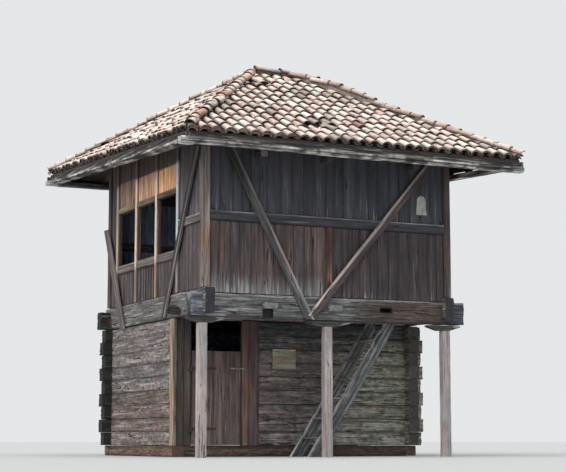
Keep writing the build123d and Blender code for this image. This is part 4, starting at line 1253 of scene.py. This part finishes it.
def tiled_slope(name, corners, seed, gaps=(), loose=1.0):
    """Pans and covers over one slope, row by row from the eave up. Loose widens their scatter."""
    first, second, third, fourth = corners
    directions = across, up_slope, normal = slope_frame(corners)
    width = (second - first).length
    height = max((third - first).dot(up_slope), (fourth - first).dot(up_slope))
    left_top, right_top = (fourth - first).dot(across), (third - first).dot(across)
    slab_depth = tile_depth * normal.z
    rib_depth = tile_relief * normal.z
    columns = int(width / tile_pitch / 2) + 1
    covers, pans = Piece(name + "_cover_tiles", seed), Piece(name + "_pan_tiles", seed + 50)
    rng = covers.random
    rows = int(height / tile_exposure) + 1
    for column in range(-columns, columns + 1):
        drift = rng.uniform(-0.006, 0.006)
        start = rng.uniform(-0.05, 0.05) * (loose - 1)
        for row in range(rows):
            v = row * tile_exposure + (start if row else 0.0)
            share = v / height
            left_limit, right_limit = left_top * share, width + (right_top - width) * share
            for kind in ("pan", "cover"):
                place = column + (0.5 if kind == "pan" else 0.0)
                u = width / 2 + place * tile_pitch + drift + rng.gauss(0, 0.005)
                if not left_limit - hip_reach < u < right_limit + hip_reach:
                    continue
                sag = 0.01 * noise.noise(Vector((u * 0.8, v * 0.8, seed)))
                slip = rng.uniform(0.008, 0.012 + 0.023 * loose) if row == 0 else rng.gauss(0, 0.014 * loose)
                turned, roll = rng.gauss(0, 0.03 * loose), rng.gauss(0, 0.06 * loose)
                beside_hip = min(u - left_limit, right_limit - u)
                shadow = 0.45 + 0.55 * ramp(beside_hip, 0.06, 0.16)
                if kind == "pan":
                    base = first + across * u + up_slope * (v + slip) + normal * (pan_height - slab_depth)
                    lay_tile(pans, base, directions, scaled(tile_colour(rng), pan_shade * shadow),
                             tile_radius, tile_length, turned, lean=-0.02, pan=True, around=4, rim_dark=0.8)
                    continue
                spot = (u + first.dot(across), v)
                if any(math.hypot((spot[0] - x) / reach_x, (spot[1] - y) / reach_y) < 1
                       for x, y, reach_x, reach_y in gaps):
                    if rng.random() < 0.6:
                        continue
                    turned, slip = rng.uniform(-0.5, 0.5), rng.uniform(-0.15, 0.05)
                wide = tile_radius * rng.uniform(0.95, 1.06)
                base = first + across * u + up_slope * (v + slip)
                base += normal * (sag - rib_depth + cover_height)
                lean = -rng.uniform(0.035, 0.075)
                colour = scaled(tile_colour(rng), shadow)
                if gaps and math.dist(spot, red_tile_place) < tile_pitch / 2:
                    colour = TILE_RED
                lay_tile(covers, base, directions, colour, wide, tile_length, turned, lean=lean, roll=roll,
                         rim_dark=rng.uniform(0.75, 1.0))
                if row:
                    continue
                for under in (1, 2, 3) if name == "front" and spot[0] < doubled_stop else (1,):
                    lower = base - normal * doubled_depth * under + up_slope * rng.uniform(0.004, 0.03)
                    colour = scaled(mixed(TILE_RED, tile_colour(rng), 0.6), 0.85)
                    lay_tile(covers, lower, directions, colour, wide, doubled_length, turned, lean=-0.04,
                             rim_dark=0.3)
    inside = (first + second + third + fourth) / 4
    planes = [hip_plane(first, fourth, inside), hip_plane(second, third, inside)]
    planes.append((third + up_slope * 0.04, Vector((up_slope.x, up_slope.y, 0)).normalized()))
    for piece, nodes in ((covers, ["roof_tiles"]), (pans, [])):
        trim(piece.make("roof_tile", nodes, TILE, angle=50), planes)


for number, (side, corners) in enumerate(slopes.items()):
    places = broken_places if side == "front" else ()
    tiled_slope(side, corners, 60 + number, places, loose=2.4 if side == "left" else 1.0)


def bar(piece, start, stop, width, height, tint, **options):
    """A timber between two points at the middle of its under side."""
    along = (stop - start).normalized()
    across = UP.cross(along).normalized()
    up = along.cross(across)
    piece.timber(start + up * (height / 2), along, across, (stop - start).length, width, height, tint,
                 **options)


# Ridge and hip tiles
cap_exposure = 0.24
cap_length = 0.36
cap_radius = 0.1
cap_arc = 1.45
swell_length = 2.0
bed_width = 0.13
bed_depth = 0.08
bed_rise = 0.075
normals = {side: slope_frame(corners)[-1] for side, corners in slopes.items()}
caps = Piece("hip_and_ridge_tiles", 71)


def cap_line(start, stop, sides, colours=None, first_place=0.0, lift=0.0, swell=0.0):
    """Overlapping large tiles from the lower end of a hip, or one end of the ridge, to the other.

    They lie between the slopes of two sides, on mortar where they are lifted."""
    along = (stop - start).normalized()
    normal = (normals[sides[0]] + normals[sides[1]]).normalized()
    across = along.cross(normal).normalized()
    normal = across.cross(along).normalized()
    total = (stop - start).length
    bed_height = bed_rise + lift

    def hump(left):
        """How much higher the mortar bed stands, a distance before the end of the line."""
        return swell * math.sin(math.pi * min(1.0, left / swell_length))

    def bedded(share):
        """The profile of the bed, which follows the hump."""
        rise = hump((1 - share) * total)
        return 1.0, 1 + rise / bed_height, 0.0, rise / 2

    if lift or swell:
        bed_start = start + along * (first_place + bed_depth) - normal * bed_depth
        bar(caps, bed_start, stop - normal * bed_depth, bed_width, bed_height, tone(176, 156, 144),
            edge=0.03, warp=0.01, rough=0.01, step=0.06, bleach=0.35, profile=bedded)
    for number in range(round((total - first_place) / cap_exposure)):
        rng = caps.random
        reached = first_place + number * cap_exposure + rng.uniform(-0.01, 0.03)
        place = start + along * reached
        left = total - reached
        rise = lift + hump(left) - 0.018 + rng.uniform(-0.012, 0.006)
        place += normal * rise + across * rng.gauss(0, 0.008)
        lean = (hump(left - cap_length) - hump(left)) / cap_length - rng.uniform(0.03, 0.07)
        colour = tile_colour(rng) if colours is None else mixed(tile_colour(rng), rng.choice(colours), 0.7)
        lay_tile(caps, place, (across, along, normal), colour, cap_radius * rng.uniform(0.9, 1.02),
                 min(cap_length, left + 0.04), turned=rng.gauss(0, 0.06), lean=lean,
                 roll=rng.gauss(0, 0.1), around=9, arc=cap_arc, rim_dark=rng.uniform(0.6, 1.0))


near_hip_colours = (TILE_CREAM, TILE_CREAM, TILE_ORANGE, mixed(TILE_CREAM, TILE_ORANGE, 0.4))
right_hip_colours = (TILE_PINK, mixed(TILE_PINK, TILE_RED, 0.6))
cap_line(near_left, ridge_left, ("front", "left"), near_hip_colours, 0.04)
cap_line(near_right, ridge_right, ("front", "right"), right_hip_colours, 0.02, swell=0.07)
cap_line(far_left, ridge_left, ("back", "left"), first_place=0.05)
cap_line(far_right, ridge_right, ("back", "right"), first_place=0.05)
cap_line(ridge_left, ridge_right, ("front", "back"), lift=0.02)

# Pale patch by the peak
front_directions = front_across, front_up, _ = slope_frame(slopes["front"])
patch_place = ridge_left - front_up * 0.9 - front_across * 0.14
lay_tile(caps, patch_place, front_directions, tone(240, 216, 190), 0.22, 0.46, turned=0.2, roll=-0.1,
         around=9, arc=0.65, rim_dark=0.25)

# The end tiles are cut off where the covering ends
trim(caps.make("roof_tile", ["roof_caps"], TILE, TILE, angle=50),
     [(tile_low, -ALONG_X), (tile_high, ALONG_X), (tile_low, -ALONG_Y), (tile_high, ALONG_Y)])

# Eaves: beams below and boards around the edge
eaves = Piece("eaves_timbers", 72)
long_low, long_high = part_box("eaves_beams_long")
beam_width = 0.16
beam_height = 0.1
eave_tilt = (far_left.z - near_left.z) / (far_left.y - near_left.y)


def streaky(tint, place):
    """Long dark and whitish streaks, as on the boards and beams of the left eaves."""
    field = noise.noise(Vector((place.x * 1.4, place.y * 1.4, place.z * 34)))
    tint = mixed(tint, tone(40, 37, 36), 0.9 * ramp(field, 0.0, -0.14))
    return mixed(tint, tone(224, 218, 212), 0.8 * ramp(field, 0.06, 0.22) * broken(place))


def pale_ends(tint, place):
    """The long eaves beams are whitish at their ends and along their lower edge."""
    streak = ramp(place.z, long_low.z + 0.07, long_low.z + 0.03) * broken(place)
    tint = mixed(tint, tone(214, 211, 206), 0.9 * streak)
    return mixed(tint, tone(205, 205, 205), 0.85 * ramp(abs(place.x), 2.76, 2.84))


side_boxes = solids("eaves_beams_side")
side_out = max(abs(side_boxes[0][0].x), abs(side_boxes[0][1].x)) - beam_width / 2
long_boxes = sorted(solids("eaves_beams_long"), key=lambda box: box[0].y)
for low, high in long_boxes:
    middle_y = (low.y + high.y) / 2
    lift = 0.03 if middle_y < 0 else 0.0
    left_end = Vector((low.x + 0.024, middle_y, low.z + lift))
    right_end = Vector((high.x - 0.024, middle_y, low.z))
    bar(eaves, left_end, right_end, beam_width, beam_height, tone(84, 82, 82), edge=0.016, warp=0.01,
        rough=0.006, step=0.06, bleach=0.15, end_tint=WHITISH, end_rough=0.03, depth_steps=4,
        shade=pale_ends)
side_base = side_boxes[0][0].z
for side in (-1, 1):
    start = Vector((side * side_out, long_low.y + beam_width, side_base))
    stop_y = long_high.y - beam_width
    stop = Vector((side * side_out, stop_y, side_base + eave_tilt * (stop_y - start.y)))
    bar(eaves, start, stop, beam_width, beam_height, tone(118, 114, 112), edge=0.016, warp=0.012, rough=0.01,
        step=0.05, bleach=-0.2, depth_steps=9, shade=streaky)
knob_low = Vector((long_low.x + 0.03, long_low.y + 0.005, long_low.z))
eaves.boxed("X", knob_low, knob_low + Vector((0.22, beam_width, 0.13)), WHITISH, edge=0.03, warp=0.02,
            rough=0.015, step=0.03, bleach=0.3, across_steps=4, depth_steps=4, end_tint=WHITISH,
            end_rough=0.02)
eaves.make("eaves_wood", ["eaves_beams_long", "eaves_beams_side"], ROUGH_WOOD, END)

edging = Piece("eaves_edge_boards", 73)
board_thickness = 0.03
board_height = 0.105
board_inset = 0.045
board_joints = (0.003, 0.37, 0.71, 0.997)
edge_sides = (
    (near_left, near_right, ALONG_Y),
    (far_right, far_left, -ALONG_Y),
    (far_left, near_left, ALONG_X),
    (near_right, far_right, -ALONG_X),
)
for first, second, inward in edge_sides:
    offset = inward * (board_inset + board_thickness / 2) - UP * (tile_depth + board_height)
    top_tint = tone(132, 128, 126) if inward.x > 0 else tone(136, 133, 132)
    for shares in zip(board_joints[:-1], board_joints[1:]):
        start, stop = (first.lerp(second, share) + offset + UP * edging.random.uniform(-0.004, 0.004)
                       for share in shares)

        def under_tiles(tint, place, first=first, second=second):
            """An edge board carries a painted shadow just under the tiles, and is paler along its foot."""
            share = (place - first).dot(second - first) / (second - first).length_squared
            above_foot = place.z - (first.lerp(second, share) + offset).z
            tint = streaky(tint, place - UP * above_foot * 0.3)
            tint = scaled(tint, 1 - 0.85 * ramp(above_foot, 0.045, 0.07))
            return mixed(tint, tone(224, 222, 218), 0.9 * ramp(above_foot, 0.035, 0.01) * broken(place))

        bar(edging, start, stop, board_thickness, board_height + 0.01, varied(edging.random, top_tint),
            edge=0.004, warp=0.004, rough=0.003, step=0.06, bleach=-0.2 if inward.x else 0.2, across_steps=1,
            depth_steps=9, shade=under_tiles)
edging.make("eaves_wood", ["edge_boards"], ROUGH_WOOD, END)

# Nodes that keep their CAD shape
kept_nodes = {
    DRY_WOOD: ("rafters", "hip_rafters", "roof_deck", "wall_plates"),
    IRON: ("door_straps", "hinge_pins"), WORN_IRON: ("door_latch",), PAINT: ("bell_plate",),
}
for look, nodes in kept_nodes.items():
    for node in nodes:
        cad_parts[node].data.materials.clear()
        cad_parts[node].data.materials.append(look)

# Bare plaque
board = Piece("bare_plaque", 74)
low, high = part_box("plaque")
board.boxed("X", low, high, tone(142, 138, 122), edge=0.006, warp=0.001, rough=0.001, step=0.1,
            grime=(-0.4, -0.4))
board.make("plaque_wood", ["plaque"], SMOOTH_WOOD, END)

# Floor
floor_mesh = bpy.data.meshes.new("studio_floor")
floor_reach = 400
floor_signs = ((-1, -1), (1, -1), (1, 1), (-1, 1))
floor_mesh.from_pydata([(a * floor_reach, b * floor_reach, 0) for a, b in floor_signs], [], [(0, 1, 2, 3)])
studio_floor = placed("studio_floor", floor_mesh)
floor_look = Shader("studio_floor")
floor_look.surface.inputs["Base Color"].default_value = full(tone(206, 205, 202))
floor_look.surface.inputs["Roughness"].default_value = 0.9
floor_mesh.materials.append(floor_look.material)

# Even light from all around, and a backdrop that only the camera sees
world = bpy.data.worlds.new("studio")
bpy.context.scene.world = world
world.use_nodes = True
sky = world.node_tree
background, backdrop = sky.nodes["Background"], sky.nodes.new("ShaderNodeBackground")
for node, colour, strength in ((background, tone(224, 232, 243), 0.5), (backdrop, tone(228, 230, 232), 1.0)):
    node.inputs["Color"].default_value = full(colour)
    node.inputs["Strength"].default_value = strength
rays = sky.nodes.new("ShaderNodeLightPath")
seen = sky.nodes.new("ShaderNodeMath")
seen.operation = "MAXIMUM"
choice = sky.nodes.new("ShaderNodeMixShader")
for output, socket in (
    (rays.outputs["Is Camera Ray"], seen.inputs[0]),
    (rays.outputs["Is Glossy Ray"], seen.inputs[1]),
    (seen.outputs[0], choice.inputs[0]),
    (background.outputs[0], choice.inputs[1]),
    (backdrop.outputs[0], choice.inputs[2]),
    (choice.outputs[0], sky.nodes["World Output"].inputs["Surface"]),
):
    sky.links.new(output, socket)

# Soft lights
light_strength = 1.5
light_spread = math.radians(60)
for name, direction in (("soft_left", (0.85, 0.25, -0.5)), ("soft_top", (0.1, 0.25, -1.0))):
    light = bpy.data.lights.new(name, "SUN")
    light.energy = light_strength
    light.angle = light_spread
    placed(name, light).rotation_euler = Vector(direction).to_track_quat("-Z", "Y").to_euler()

# Camera
camera = bpy.data.cameras.new("camera")
camera.sensor_width = sensor_width_mm
camera.lens = focal_length_px / image_width * sensor_width_mm
camera_object = placed("camera", camera)
camera_object.location = camera_place
sight = Vector((
    math.sin(camera_yaw) * math.cos(camera_pitch),
    math.cos(camera_yaw) * math.cos(camera_pitch),
    math.sin(camera_pitch),
))
camera_object.rotation_euler = sight.to_track_quat("-Z", "Y").to_euler()
bpy.context.scene.camera = camera_object
bpy.context.scene.view_settings.view_transform = "Standard"
